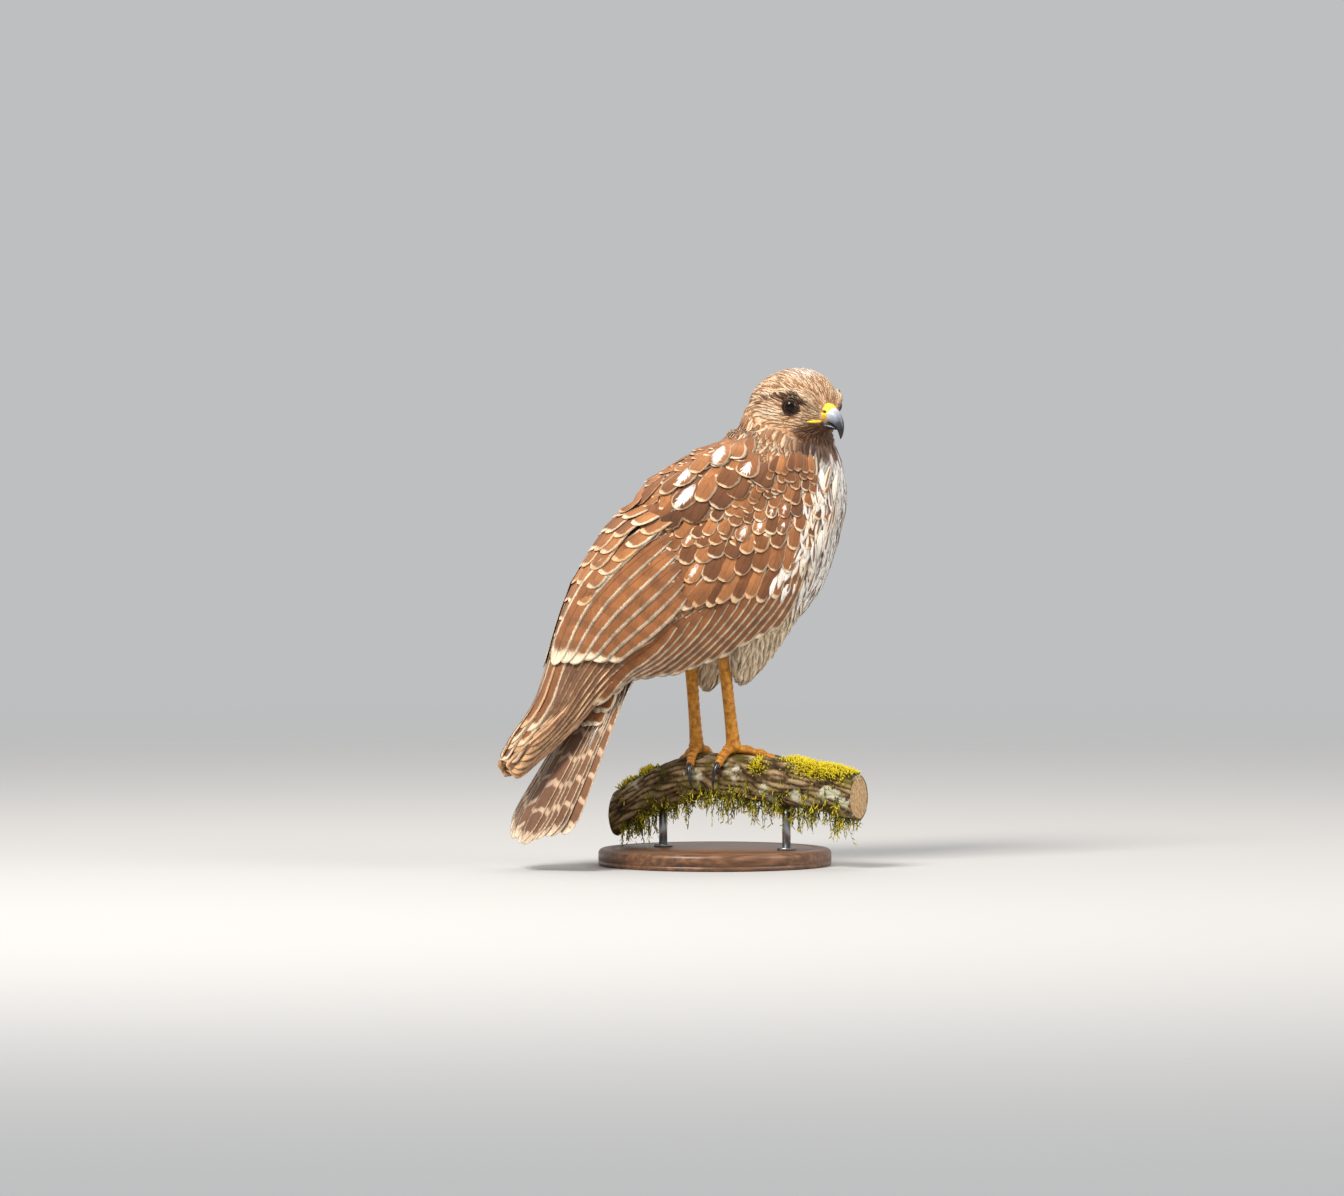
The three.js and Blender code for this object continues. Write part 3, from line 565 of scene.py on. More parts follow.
class Surface:
    """A closed mesh that answers with the nearest point and normal on it."""

    def __init__(self, vertices, faces):
        self.tree = BVHTree.FromPolygons(vertices.tolist(), faces.tolist())

    def nearest(self, points):
        """Nearest surface points, their normals, and how far outside each asked point lies."""
        found = [self.tree.find_nearest(p)[:2] for p in points.reshape(-1, 3).tolist()]
        place, normal = (np.array([f[k] for f in found]).reshape(points.shape) for k in (0, 1))
        return place, normal, dot(points - place, normal)

    def depth(self, starts, way, otherwise):
        """How far from each start the surface lies along a way, and its normal there. Where the ray misses,
        it is the point nearest to otherwise."""
        depth, normals = [], []
        for start, other in zip(starts.reshape(-1, 3), otherwise.reshape(-1, 3)):
            place, normal = self.tree.ray_cast(start, way)[:2]
            if place is None:
                place, normal = self.tree.find_nearest(other)[:2]
            depth.append((np.array(place) - start) @ way)
            normals.append(normal)
        return np.reshape(depth, starts.shape[:-1]), np.reshape(normals, starts.shape)


skin_surface = None

# The coat's colours. Each place on the body has a centre and a rim colour, and a share of the vane that is
# centre.
COLOURS = {
    "dark": linear("#603a20"),
    "mantle": linear("#8c5730"),
    "warm": linear("#b57746"),
    "fringe": linear("#e4b484"),
    "cream": linear("#f3dcbc"),
    "white": linear("#fdf7f0"),
    "streak": linear("#7d4f30"),
    "crown": linear("#966239"),
    "cheek": linear("#b9804e"),
    # dark brown of the throat, also used for the painted shadow under the brows over the eyes
    "chin_and_brow_shade": linear("#42230c"),
    "lore": linear("#b99a78"),
    "primary": linear("#75513a"),
    "tail": linear("#7f5538"),
    "thigh": linear("#e6cba2"),
}
COLOURS["tertial"] = mix(COLOURS["mantle"], COLOURS["warm"], 0.12)
FLIGHT_BAR = linear("#5f3d22")
TAIL_BAND = linear("#e0c1a2")


def blend(first, second, count):
    """A random colour between two for each feather."""
    return mix(COLOURS[first], COLOURS[second], random.random(count))


def trunk_place(points):
    """Row of the trunk nearest to each point, its down direction, and the angle round from the back in
    degrees."""
    rows = np.linspace(0.3, len(TRUNK) - 1, 120)
    middle, down, back = trunk_frame(rows)
    distance = np.linalg.norm(points[:, None, ::2] - middle[None, :, ::2], axis=-1)
    across = np.abs(dot(points[:, None] - middle[None], down))
    nearest = np.argmin(across + 0.15 * distance, axis=1)
    offset = points - middle[nearest]
    reach = rows_at(TRUNK, rows[nearest])
    angle = np.arctan2(np.abs(offset[:, 1]) / reach[:, 4], dot(offset, back[nearest]) / reach[:, 2])
    return rows[nearest], down[nearest], np.degrees(angle)


def head_share(points):
    """1 on the head, 0 on the body, and between on the neck."""
    return 1 - smooth(36, 52, np.linalg.norm((to_head(points) - (2, 0, 2)) * (1, 1, 0.92), axis=-1))


def thigh_share(points):
    """1 on the thighs' lower part."""
    offsets = [points - from_ankle(name, np.array([30, 7, 20])) for name in SIDES]
    near = np.min([np.linalg.norm(offset * (1, 1.2, 0.8), axis=-1) for offset in offsets], axis=0)
    return (1 - smooth(38, 52, near)) * (1 - smooth(120, 150, points[:, 2]))


def lie_of_coat(points):
    """The way feathers lie: back from the bill round the eyes on the head, down the trunk, down the thighs
    and tail."""
    place = to_head(points)
    flow = unit(place - (50, 0, -6))
    for side in SIDES.values():
        from_eye = place - (EYE_AT[0] + 3, side * (EYE_AT[1] + 7), EYE_AT[2])
        near = np.exp(-((np.linalg.norm(from_eye, axis=-1) / 10) ** 2))
        flow = flow + 0.35 * unit(from_eye) * near[:, None]
    rows, down, _ = trunk_place(points)
    body_way = mix(down, TAIL_ALONG, smooth(6.5, 9, rows))
    way = mix(body_way, np.array([-0.2, 0, -1]), thigh_share(points))
    return unit(mix(way, unit(flow) @ HEAD_AXES, head_share(points)))


# Markings of the face, on a side view turned half way to the front: millimetres ahead of the eye and above
# it, then reach, and strength on the tufts' centres and rims
FACE_PATCHES = [
    ("white", (14, 29), (11, 8), (0.35, 0.7)),
    ("cream", (-8, 30), (16, 7), (0.2, 0.6)),
    ("cheek", (-8, -19), (15, 9), (0.8, 0.35)),
    ("cream", (-15, -7), (15, 4.5), (0.6, 0.7)),
    ("lore", (18, -5), (8, 9), (0.9, 0.9)),
    ("mantle", (8, -30), (14, 8), (0.7, 0.5)),
    ("cream", (-26, -36), (20, 9), (0.1, 0.6)),
]
# Lines of the face: points on the same view, width and strength. The dark line along the top of the eye and
# its end in front of it are painted shadow under the brow
FACE_LINES = [
    ("cream", [(-22, 8.5), (-8, 11.5), (6, 10), (15, 5.5)], 2.6, 0.6),
    ("chin_and_brow_shade", [(-24, 1.5), (-15, 5.5), (-7, 7.4)], 1.7, 0.75),
    # painted shadow under the brow: a dark line along the top of the eye and on in front of it
    ("chin_and_brow_shade", [(-8, 7.2), (1, 7.4), (7.5, 5), (12.5, 1.2)], 2.9, 0.95),
    ("chin_and_brow_shade", [(7, 3.5), (9.5, 1)], 2.6, 0.9),
    ("chin_and_brow_shade", [(-5, -7.4), (2, -7.8), (7, -5)], 1.2, 0.7),
]
THROAT = ((21, -25), (18, 11))


def face_map(points):
    """Millimetres ahead of and above the eye, as seen half way between the side and the front of the head."""
    offset = points - HEAD_AT
    heading = unit(HEAD_AXES[0] * (1, 1, 0))
    eye = eye_middle(1) - HEAD_AT
    ahead = offset @ heading - np.abs(to_head(points)[:, 1]) - eye @ heading + EYE_AT[1]
    return math.sqrt(0.5) * ahead, offset[:, 2] - eye[2]


def line_distance(x, y, line):
    """Distance of places to the nearest of a line's points, taken closely."""
    dense = rows_at(line, even(line, 12 * len(line)))
    return np.min(np.hypot(x[:, None] - dense[:, 0], y[:, None] - dense[:, 1]), axis=1)


def markings(points):
    """Centre colour, rim colour and the centre's share for each place on the body: brown and buff above,
    streaked white below, streaked cream on the head with a dark throat, and pale buff on the thighs."""
    c = COLOURS
    rows, _, angle = trunk_place(points)
    blotch = ripples(points, 34, 3)
    centre = mix(c["mantle"], c["warm"], 0.5 + 0.4 * blotch)
    rim = mix(c["fringe"], c["cream"], 0.35 + 0.3 * ripples(points, 21, 4))
    neck = 1 - smooth(2.2, 3.4, rows)
    shoulder = smooth(84, 98, angle)
    breast = smooth(98, 110, angle + 4 * ripples(points, 16, 5)) * smooth(271, 260, points[:, 2])
    long_way = np.stack([0.9 * angle * np.sign(points[:, 1]), 5.5 * rows, 0 * rows], -1)
    streaked = mix(c["white"], c["streak"], smooth(0.1, 0.45, ripples(long_way, 9, 6)))
    belly = smooth(5.6, 7.2, rows) * smooth(80, 100, angle)
    thigh = thigh_share(points)
    # each zone: its share, centre colour and its strength, rim colour and its strength, less centre
    zones = [
        (neck, c["crown"], 1, c["cream"], 0.7, 0.13),
        (shoulder, c["warm"], 1, c["cream"], 0.6, 0.1),
        (breast, streaked, 1, c["white"], 1, 0.08),
        (belly, c["cream"], 0.6, c["white"], 1, 0.12),
        (thigh, c["thigh"], 1, c["cream"], 1, 0),
    ]
    reach = 0.68
    for share, zone_centre, centre_part, zone_rim, rim_part, less in zones:
        centre = mix(centre, zone_centre, centre_part * share)
        rim = mix(rim, zone_rim, rim_part * share)
        reach = reach - less * share
    face = head_share(points)
    ahead, above = face_map(points)
    squared = lambda at, size: ((ahead - at[0]) / size[0]) ** 2 + ((above - at[1]) / size[1]) ** 2
    blob = lambda at, size: np.exp(-(squared(at, size) ** 1.5))
    head_centre = mix(c["crown"], c["warm"], 0.35 + 0.3 * blotch)
    head_rim = mix(c["fringe"], c["cream"], np.clip(0.5 + 0.3 * ripples(points, 9, 7), 0, 1))
    marks = [(name, blob(at, size), strength) for name, at, size, strength in FACE_PATCHES]
    for name, line, width, strength in FACE_LINES:
        share = smooth(width, 0.45 * width, line_distance(ahead, above, line))
        marks.append((name, share, (strength, strength)))
    for name, share, (on_centre, on_rim) in marks:
        head_centre = mix(head_centre, c[name], on_centre * share)
        head_rim = mix(head_rim, c[name], on_rim * share)
    throat = 0.95 * np.clip(1.5 * blob(*THROAT), 0, 1) * smooth(225, 245, points[:, 2])
    centre = mix(mix(centre, head_centre, face), c["chin_and_brow_shade"], throat)
    rim = mix(mix(rim, head_rim, face), mix(c["chin_and_brow_shade"], c["crown"], 0.35), throat)
    return centre, rim, np.clip(reach * (1 - face) + 0.56 * face, 0.05, 0.95)


def vane_faces(stations, across, copies):
    """Faces of closed vanes: each is a flat tube whose rings hold the upper points from edge to edge and,
    back under them, the lower points without the edges. Each end is closed by a strip."""
    n = 2 * across - 2
    j = np.arange(1, across - 2)
    last = (stations - 1) * n
    strip = np.stack([j, n - j, n - j - 1, j + 1], -1)
    end = np.array([[0, n - 1, 1], [across - 2, across, across - 1]])
    quads = np.concatenate([grid_quads(stations, n), strip, strip[:, ::-1] + last])
    return repeated(quads, np.concatenate([end, end[:, ::-1] + last]), n * stations, copies)


def repeated(quads, triangles, size, copies):
    """The faces of one form, given again for each of its copies, which have size points each."""
    step = (np.arange(copies) * size)[:, None, None]
    return (quads + step).reshape(-1, 4), (triangles + step).reshape(-1, 3)


def vane_points(spine, normal, half, across, thick, arch, roll, fray):
    """Points of vanes. Across the shaft a vane reaches half its width each way, bends down by arch times
    the square of the share from the shaft, and is turned about the shaft by roll; its underside lies thick
    below its middle."""
    count, stations, _ = spine.shape
    along = unit(np.gradient(spine, axis=1))
    level = unit(np.cross(along, normal))
    up = np.cross(level, along)
    roll = np.radians(roll)[:, None, None]
    level, up = level * np.cos(roll) + up * np.sin(roll), up * np.cos(roll) - level * np.sin(roll)
    top = np.linspace(-1, 1, across)
    share = np.concatenate([top, top[-2:0:-1]])
    under = np.repeat([0.0, 1.0], [across, across - 2])
    ragged = 1 - fray * random.random((count, stations, 2)) ** 2
    reach = half[..., None] * ragged[..., np.where(share < 0, 0, 1)] * share
    drop = -arch * half[..., None] * share**2 - under * thick * (1 - share**2)
    points = spine[:, :, None] + level[:, :, None] * reach[..., None] + up[:, :, None] * drop[..., None]
    return points, np.abs(share)


def feather_profile(kind, v):
    """Half width along a feather as a share of its greatest: a rounded body feather, a narrow tuft, a long
    vane."""
    if kind == "round":
        swell = 0.4 + 0.6 * np.sin(np.pi / 2 * np.clip(v / 0.62, 0, 1))
        return swell * np.sqrt(1 - np.clip((v - 0.62) / 0.385, 0, 1) ** 2.4)
    if kind == "tuft":
        swell = 0.45 + 0.55 * np.sin(np.pi / 2 * np.clip(v / 0.45, 0, 1))
        return swell * (1 - np.clip((v - 0.4) / 0.62, 0, 1) ** 1.7)
    swell = 0.45 + 0.55 * np.clip(v / 0.3, 0, 1) ** 0.6
    return swell * np.sqrt(1 - np.clip((v - 0.86) / 0.142, 0, 1) ** 2.2)


STATIONS = {
    "tuft": np.array([0, 0.35, 0.65, 0.88, 1]),
    "round": np.array([0, 0.32, 0.62, 0.8, 0.92, 0.985, 1]),
    "long": np.array([0, 0.1, 0.22, 0.36, 0.5, 0.64, 0.76, 0.86, 0.92, 0.96, 0.985, 1]),
}
PATCH = 0.003  # of the map, for one feather


def feathers(
    kind, spine, normal, width, centre, rim, reach,
    spot=-1, across=3, thick=0.35, arch=0.18, roll=0, fray=0.12,
):
    """A batch of feathers of one kind with their colours. Width, colours, reach, spot and roll are one for
    all or one for each."""
    count = len(spine)
    v = STATIONS[kind]
    each = (np.asarray(a, float) for a in (width, reach, spot, roll))
    width, reach, spot, roll = (np.broadcast_to(a, (count,)) for a in each)
    centre, rim = (np.broadcast_to(c, (count, 3)) for c in (centre, rim))
    half = width[:, None] / 2 * feather_profile(kind, v)
    points, share = vane_points(spine, normal, half, across, thick, arch, roll, fray)
    share, v_all = np.broadcast_arrays(share, np.broadcast_to(v[:, None], points.shape[:2] + (1,)))
    spread = lambda a: np.broadcast_to(a[:, None, None], (*v_all.shape, a.shape[-1])).reshape(-1, a.shape[-1])
    length = np.linalg.norm(np.diff(spine, axis=1), axis=-1).sum(1)
    side = np.concatenate([np.linspace(0, 1, across), np.linspace(1, 0, across)[1:-1]])
    return {
        "shape": (points.reshape(-1, 3), *vane_faces(len(v), across, count)),
        "vane": np.stack([share, v_all, np.clip((v_all - 0.62) / 0.38, 0, 1)], -1).reshape(-1, 3),
        "lot": spread(np.stack([length, width, random.random(count)], -1)),
        "centre": spread(np.column_stack([centre, reach])),
        "rim": spread(np.column_stack([rim, spot])),
        "root": spread(spine[:, 0]),
        "patch": np.stack(np.broadcast_arrays(side, v_all), -1).reshape(-1, 2) * PATCH,
    }


def unwrap(points):
    """The skin's own shape laid flat: the angle round the bird's long axis against the distance along it."""
    axis = unit(np.array([-0.45, -0.05, -0.89]))
    offset = points - (30, 0, 200)
    out = unit(np.cross(axis, LEFT))
    angle = np.arctan2(offset @ np.cross(axis, out), offset @ out) / (2 * np.pi) + 0.5
    return np.clip(np.stack([angle, (offset @ axis + 150) / 500], -1), 0.004, 0.99)


def put_feathers(name, batches, material):
    """Joins batches of feathers into one piece."""
    gather = lambda key: np.concatenate([b[key] for b in batches])
    attributes = {key: gather(key) for key in ("vane", "lot", "centre", "rim")}
    patches = unwrap(gather("root")) + gather("patch")
    put(name, joined([b["shape"] for b in batches]), material, attributes=attributes, patches=patches)


def along_skin(way, normal):
    """Ways brought down onto the surface that normals stand on."""
    return unit(way - normal * dot(way, normal)[:, None])


def flowing(roots, length, kind, low, high, wander=8):
    """Spines of feathers that start at roots and follow the skin along the lie of the coat, rising from low
    to high."""
    v = STATIONS[kind]
    turn = np.radians(random.normal(0, wander, len(roots)))[:, None]
    place, normal, _ = skin_surface.nearest(roots)
    spine, normals = [place], [normal]
    for step in np.diff(v):
        way = along_skin(lie_of_coat(place), normal)
        way = way * np.cos(turn) + np.cross(normal, way) * np.sin(turn)
        place, normal, _ = skin_surface.nearest(place + way * (length * step)[:, None])
        spine.append(place)
        normals.append(normal)
    spine, normals = np.stack(spine, 1), np.stack(normals, 1)
    lift = low + (high - low) * v * (1 + 0.25 * random.normal(size=(len(roots), 1)))
    return spine + normals * lift[..., None], normals


def travelled(points):
    """Length along a line of points, up to each of them."""
    return np.concatenate([[0], np.cumsum(np.linalg.norm(np.diff(points, axis=0), axis=-1))])


def lattice(rings_at, start, end, spacing):
    """Places in staggered rows over a form: rows a spacing apart down it, and a spacing apart round each
    ring."""
    u = np.linspace(start, end, 160)
    pace = np.linalg.norm(np.diff(rings_at(u), axis=0), axis=-1).max(1)
    run = np.concatenate([[0], np.cumsum(pace / (0.9 * spacing(u[1:])))])
    rows = np.interp(np.arange(0, run[-1]), run, u)
    places = []
    for number, (row, ring) in enumerate(zip(rows, rings_at(rows))):
        loop = np.concatenate([ring, ring[:1]])
        length = travelled(loop)
        count = max(3, int(length[-1] / spacing(np.array([row]))[0]))
        at = (np.arange(count) + 0.5 * (number % 2)) / count * length[-1]
        places.append(np.stack([np.interp(at, length, loop[:, k]) for k in range(3)], -1))
    return np.concatenate(places)


def bare(points):
    """Where no feather grows: the bill and cere, the eyes' openings and the corners of the mouth."""
    ahead, left, up = to_head(points).T
    out = (ahead > 33) & (np.abs(left) < 8.5) & (up < 9.5) & (up > -11)
    out |= (ahead > 42) & (np.abs(left) < 14) & (np.abs(up) < 20)
    for side in SIDES.values():
        _, distance, cosine = from_look(points, side)
        out |= (cosine > math.cos(math.radians(56))) & (distance < 14)
    return out


def coat_roots(rings_at, start, end, spacing, keep=None):
    """Roots of feathers over a form, where it shows on the fused skin and isn't bare."""
    places = lattice(rings_at, start, end, spacing)
    places = places + random.normal(0, 0.12, places.shape) * spacing(np.array([start, end])).mean()
    found, _, outside = skin_surface.nearest(places)
    shown = (outside > -2.5) & ~bare(found)
    return found[shown & keep(found) if keep else shown]


def coat(roots, size, kind="round", low=0.2, high=2.4, wander=8, slim=0.8, pale=0.0, arch=0.18, soft=0.0):
    """Feathers on the skin at roots, each size long, with the skin's own markings. A share of them is pale
    all over, which makes the coat streaked."""
    count = len(roots)
    centre, rim, reach = markings(roots)
    centre = mix(centre, rim, 0.85 * (random.random(count) < pale))
    rim = mix(rim, centre, soft)
    tone = 1 + random.normal(0, 0.08, (count, 1))
    size = size * random.uniform(0.88, 1.12, count)
    spine, normal = flowing(roots, size, kind, low, high, wander)
    reach = reach + random.normal(0, 0.05, count)
    roll = random.normal(0, 4, count)
    colours = centre * tone, rim * tone
    return feathers(kind, spine, normal, size * slim, *colours, reach, roll=roll, fray=0.15, arch=arch)


def plume_material(name, bars=None, barb=1.0, shaft=0.3, shade=(1.16, 0.84), ragged=0.16, depth=0.34):
    """Feather keratin: matt vanes with soft fringes, a shaft line and fine barbs that slant from it, drawn
    about a millimetre apart, coarser than real ones, so that they show. bars are count, phase, sharpness,
    strength, colour, slant across the vane and shuffle between feathers."""
    f = Finish(name, Roughness=0.72, Specular_IOR_Level=0.28, Sheen_Weight=0.12, Sheen_Roughness=0.5)
    share, along, tip = f.parts(f.attribute("vane", "Vector"))
    length, width, chance = f.parts(f.attribute("lot", "Vector"))
    centre, rim = (add(f.tree, "Attribute", attribute_name=key).outputs for key in ("centre", "rim"))
    grain = f.noise(420, 2)
    cloud = f.noise(70, 3)
    edge = f.times(grain, ragged, f.math("SMOOTH_MAX", share, tip, 0.35))
    fringe = f.step(edge, centre["Alpha"], f.math("ADD", centre["Alpha"], 0.16), kind="SMOOTHSTEP")
    # centres run from paler at their hidden base to darker at the tip
    dark = f.scaled(centre["Color"], f.step(along, 0.3, 0.92, *shade))
    colour = f.mix(fringe, dark, rim["Color"])
    # barbs: lines that run out and towards the tip
    run = f.times(along, length)
    out = f.times(share, width)
    slant = f.times(out, -0.75, run)
    line = f.math("SINE", f.times(slant, 2 * math.pi / barb))
    # barbs part into locks some three millimetres apart, streaks of tone that run the same way
    at = f.vector(slant, f.times(out, 0.12), f.times(chance, 90))
    lock = f.noise(0.42, 2.5, 0.6, at)
    # a white drop in the middle of some vanes, broken along the barbs
    drop = f.vector(f.times(share, 1 / 0.3), f.times(along, 1 / 0.26, -0.68 / 0.26))
    drop = add(f.tree, "VectorMath", {0: drop}, operation="LENGTH").outputs["Value"]
    inside = f.math("SUBTRACT", rim["Alpha"], f.times(lock, 3.6, drop))
    patch = f.step(inside, -1.95, -1.2, end=0.92, kind="SMOOTHSTEP")
    colour = f.mix(patch, colour, COLOURS["white"])
    if bars:
        count, phase, sharp, strength, tint, chevron, shuffle = bars
        turn = f.times(along, count * 2 * math.pi, phase)
        turn = f.times(chance, shuffle, f.times(share, chevron, turn))
        wave = f.math("COSINE", f.times(cloud, 2.6, turn))
        colour = f.mix(f.step(wave, sharp, sharp + 0.4, end=strength, kind="SMOOTHSTEP"), colour, tint)
    tone = f.times(chance, 0.22, f.times(lock, 0.9, f.times(line, 0.09, cloud)))
    tone = f.step(tone, 0.65, 1.5, 1 - depth, 1 + depth)
    quill = f.step(share, 0, 0.09, 1 - shaft)
    relief = f.times(lock, 4, line)
    f.set(Base_Color=f.scaled(colour, f.times(tone, quill)), Normal=f.bump(relief, 0.5, 0.0003))
    return f.material


def skin_material():
    """Skin under the coat, in the coat's own colours, matt and mottled, so that a gap between feathers
    isn't seen."""
    f = Finish("Feathered_skin", Roughness=0.85, Specular_IOR_Level=0.2)
    fleck = f.noise(260, 4)
    colour = f.mix(f.step(fleck, 0.4, 0.65), f.attribute("centre", "Color"), f.attribute("rim", "Color"))
    # painted shade: the coat's colours scaled to 0.85, so that the gaps between feathers read as shaded
    f.set(Base_Color=f.scaled(colour, 0.85), Normal=f.bump(fleck, 0.5, 0.001))
    return f.material


def mottled(name, colours, scale, detail, rough, bump, distance, ends=(0.3, 0.7), stretch=None, **sockets):
    """A surface whose colour runs between several tones by noise on Object coordinates, with the same noise
    as bump."""
    f = Finish(name, **sockets)
    cloud = f.noise(scale, detail, 0.6, stretch=stretch)
    stops = zip(np.linspace(*ends, len(colours)), colours)
    f.set(Base_Color=f.ramp(cloud, list(stops)), Roughness=f.step(cloud, 0, 1, *rough))
    f.set(Normal=f.bump(cloud, bump, distance))
    return f


def build_skin():
    """One skin fused from the trunk, skull, brows, wings, thighs and tail stump, inside the solids by the
    coat's depth, then eased, and hollowed round the eyes."""
    global skin_surface
    sizes = bpy.context.scene.hawk_sizes
    depth = sizes.coat_depth * 1000
    parts = [trunk_rings(even(TRUNK, 60), -depth), skull_rings(even(SKULL, 50), -0.55 * depth)]
    for name, side in SIDES.items():
        brow = rows_at(BROW, even(BROW, 24))
        parts.append(wing_rings(side, np.linspace(0, 9.2, 60), 1.2))
        parts.append(thigh_rings(name, np.linspace(0, 4.6, 40), -depth))
        path, thin = from_head(brow[:, :3] * (1, side, 1)), brow[:, 3] - 0.4
        parts.append(tube(path, thin, thin, HEAD_AXES[2], 12))
    stump = rows_at(TAIL_STUMP, even(TAIL_STUMP, 24))
    middle = tail_point(stump[:, 0], 0 * stump[:, 0])
    parts.append(oval(middle, TAIL_UP, TAIL_LEFT, stump[:, [2, 2, 1]] - 2, 24))
    material = skin_material()
    rough = put("skin_forms", joined([closed_tube(p) for p in parts]), material)
    remesh = rough.modifiers.new("Fuse", "REMESH")
    remesh.mode = "VOXEL"
    remesh.voxel_size = sizes.skin_grain
    ease = rough.modifiers.new("Ease", "SMOOTH")
    ease.factor, ease.iterations = 0.5, 7
    fused = bpy.data.meshes.new_from_object(rough.evaluated_get(bpy.context.evaluated_depsgraph_get()))
    bpy.data.objects.remove(rough)
    vertices = np.zeros(len(fused.vertices) * 3, np.float32)
    fused.vertices.foreach_get("co", vertices)
    vertices = vertices.reshape(-1, 3).astype(float) * 1000 - (0, 0, PERCH_TOP)
    quads = np.zeros(len(fused.loops), np.int32)
    fused.loops.foreach_get("vertex_index", quads)
    quads = quads.reshape(-1, 4)
    for side in SIDES.values():
        offset, distance, cosine = from_look(vertices, side)
        inside = smooth(math.cos(math.radians(66)), math.cos(math.radians(50)), cosine)
        target = eye_middle(side) + unit(offset) * (EYE_RADIUS - 1.4)
        vertices = np.where(distance[:, None] < 16, mix(vertices, target, inside), vertices)
    skin_surface = Surface(vertices, quads)
    centre, rim, reach = markings(vertices)
    attributes = {"centre": np.column_stack([centre, reach]), "rim": np.column_stack([rim, 0 * reach])}
    flesh = ["torso", "neck", "head", "wing_left", "wing_right", "tail", "thigh_left", "thigh_right"]
    put("skin", (vertices, quads, NO_TRIANGLES), material, flesh, attributes)


def build_body_coat():
    """The coat of head, neck, back, breast, belly and thighs, each as its own piece."""
    material = plume_material("Body_contour_feathers", barb=1.1, shaft=0.25)
    even_tone = {"shade": (1.05, 0.95), "ragged": 0.05, "depth": 0.16}
    fine = plume_material("Fine_head_feathers", barb=0.7, shaft=0.1, **even_tone)
    last = len(SKULL) - 1
    on_head = lambda p: head_share(p) > 0.45
    roots = coat_roots(skull_rings, last - 0.4, 0.6, lambda u: 2.3 + 1.5 * smooth(last - 1, 2, u), on_head)
    size = 6.5 + 7.5 * smooth(34, -20, to_head(roots)[:, 0])
    head = coat(roots, size, "tuft", 0.1, 1.0, 4, slim=0.28, pale=0.5, arch=0.06, soft=0.15)
    put_feathers("coat_head", [head], fine)
    roots = coat_roots(trunk_rings, 0.6, 4.2, lambda u: 3.9 + 0.6 * u, lambda p: head_share(p) <= 0.5)
    size = 13 + 5 * smooth(290, 235, roots[:, 2])
    neck = coat(roots, size, "tuft", 0.2, 1.5, 6, slim=0.46, pale=0.3, arch=0.1, soft=0.4)
    put_feathers("coat_neck", [neck], fine)
    roots = coat_roots(trunk_rings, 3.0, 9, lambda u: 7.2 + 0 * u, lambda p: trunk_place(p)[2] < 96)
    put_feathers("coat_back", [coat(roots, 19, "round", 0.3, 2.2, 6, slim=0.72)], material)
    belly = lambda p: (trunk_place(p)[2] >= 92) & (head_share(p) < 0.4)
    roots = coat_roots(trunk_rings, 2.4, 9.6, lambda u: 4.7 + 0 * u, belly)
    front = coat(roots, 23, "tuft", 0.3, 1.6, 7, slim=0.36, pale=0.15, arch=0.05, soft=0.1)
    put_feathers("coat_breast", [front, *breast_edges()], fine)
    thighs = []
    for name in SIDES:
        roots = coat_roots(lambda u: thigh_rings(name, u), 0.3, 4.9, lambda u: 4.2 + 0 * u)
        size = 17 + 7 * smooth(75, 50, roots[:, 2])
        thighs.append(coat(roots, size, "tuft", 0.3, 3.4, 9, slim=0.32, pale=0.5, arch=0.1))
    put_feathers("coat_thighs", thighs, material)


# Rows of breast feathers that spread over the front edge of each wing: where their tips lie, as the
# scapulars' lines
BREAST_EDGES = [
    [(84, 224), (80, 205), (75, 186), (67, 165), (57, 147), (46, 132)],
    [(90, 222), (86, 203), (81, 182), (74, 160), (64, 142), (53, 126)],
    [(95, 216), (92, 198), (88, 178), (82, 156), (72, 138), (61, 120)],
]
BREAST_EDGE_COUNT = 19


def breast_edges():
    """White feathers with a brown streak, in loose rows over the wings' front edges, the hindmost row
    lowest."""
    count = BREAST_EDGE_COUNT
    batches = []
    for side in SIDES.values():
        for number, line in enumerate(BREAST_EDGES):
            tip, share = row_of(line, count, 0.5 * (number % 2))
            tip = tip + random.normal(0, 2.2, tip.shape)
            way = fall_way(4 + 22 * share + random.normal(0, 7, count))
            length = 24 * random.uniform(0.8, 1.15, count)
            low = 1.6 + 0.4 * number
            spine, normal = laid(side, "tuft", tip - way * length[:, None], tip, low, low + 1.8)
            centre = mix(COLOURS["white"], COLOURS["streak"], 0.9 * (random.random(count) < 0.6))
            rim = blend("white", "cream", count)
            width = random.uniform(7.5, 10.5, count)
            form = {"across": 5, "arch": 0.1, "fray": 0.2}
            batches.append(feathers("tuft", spine, normal, width, centre, rim, 0.27, **form))
    return batches


VIEW_TURN = math.radians(20)


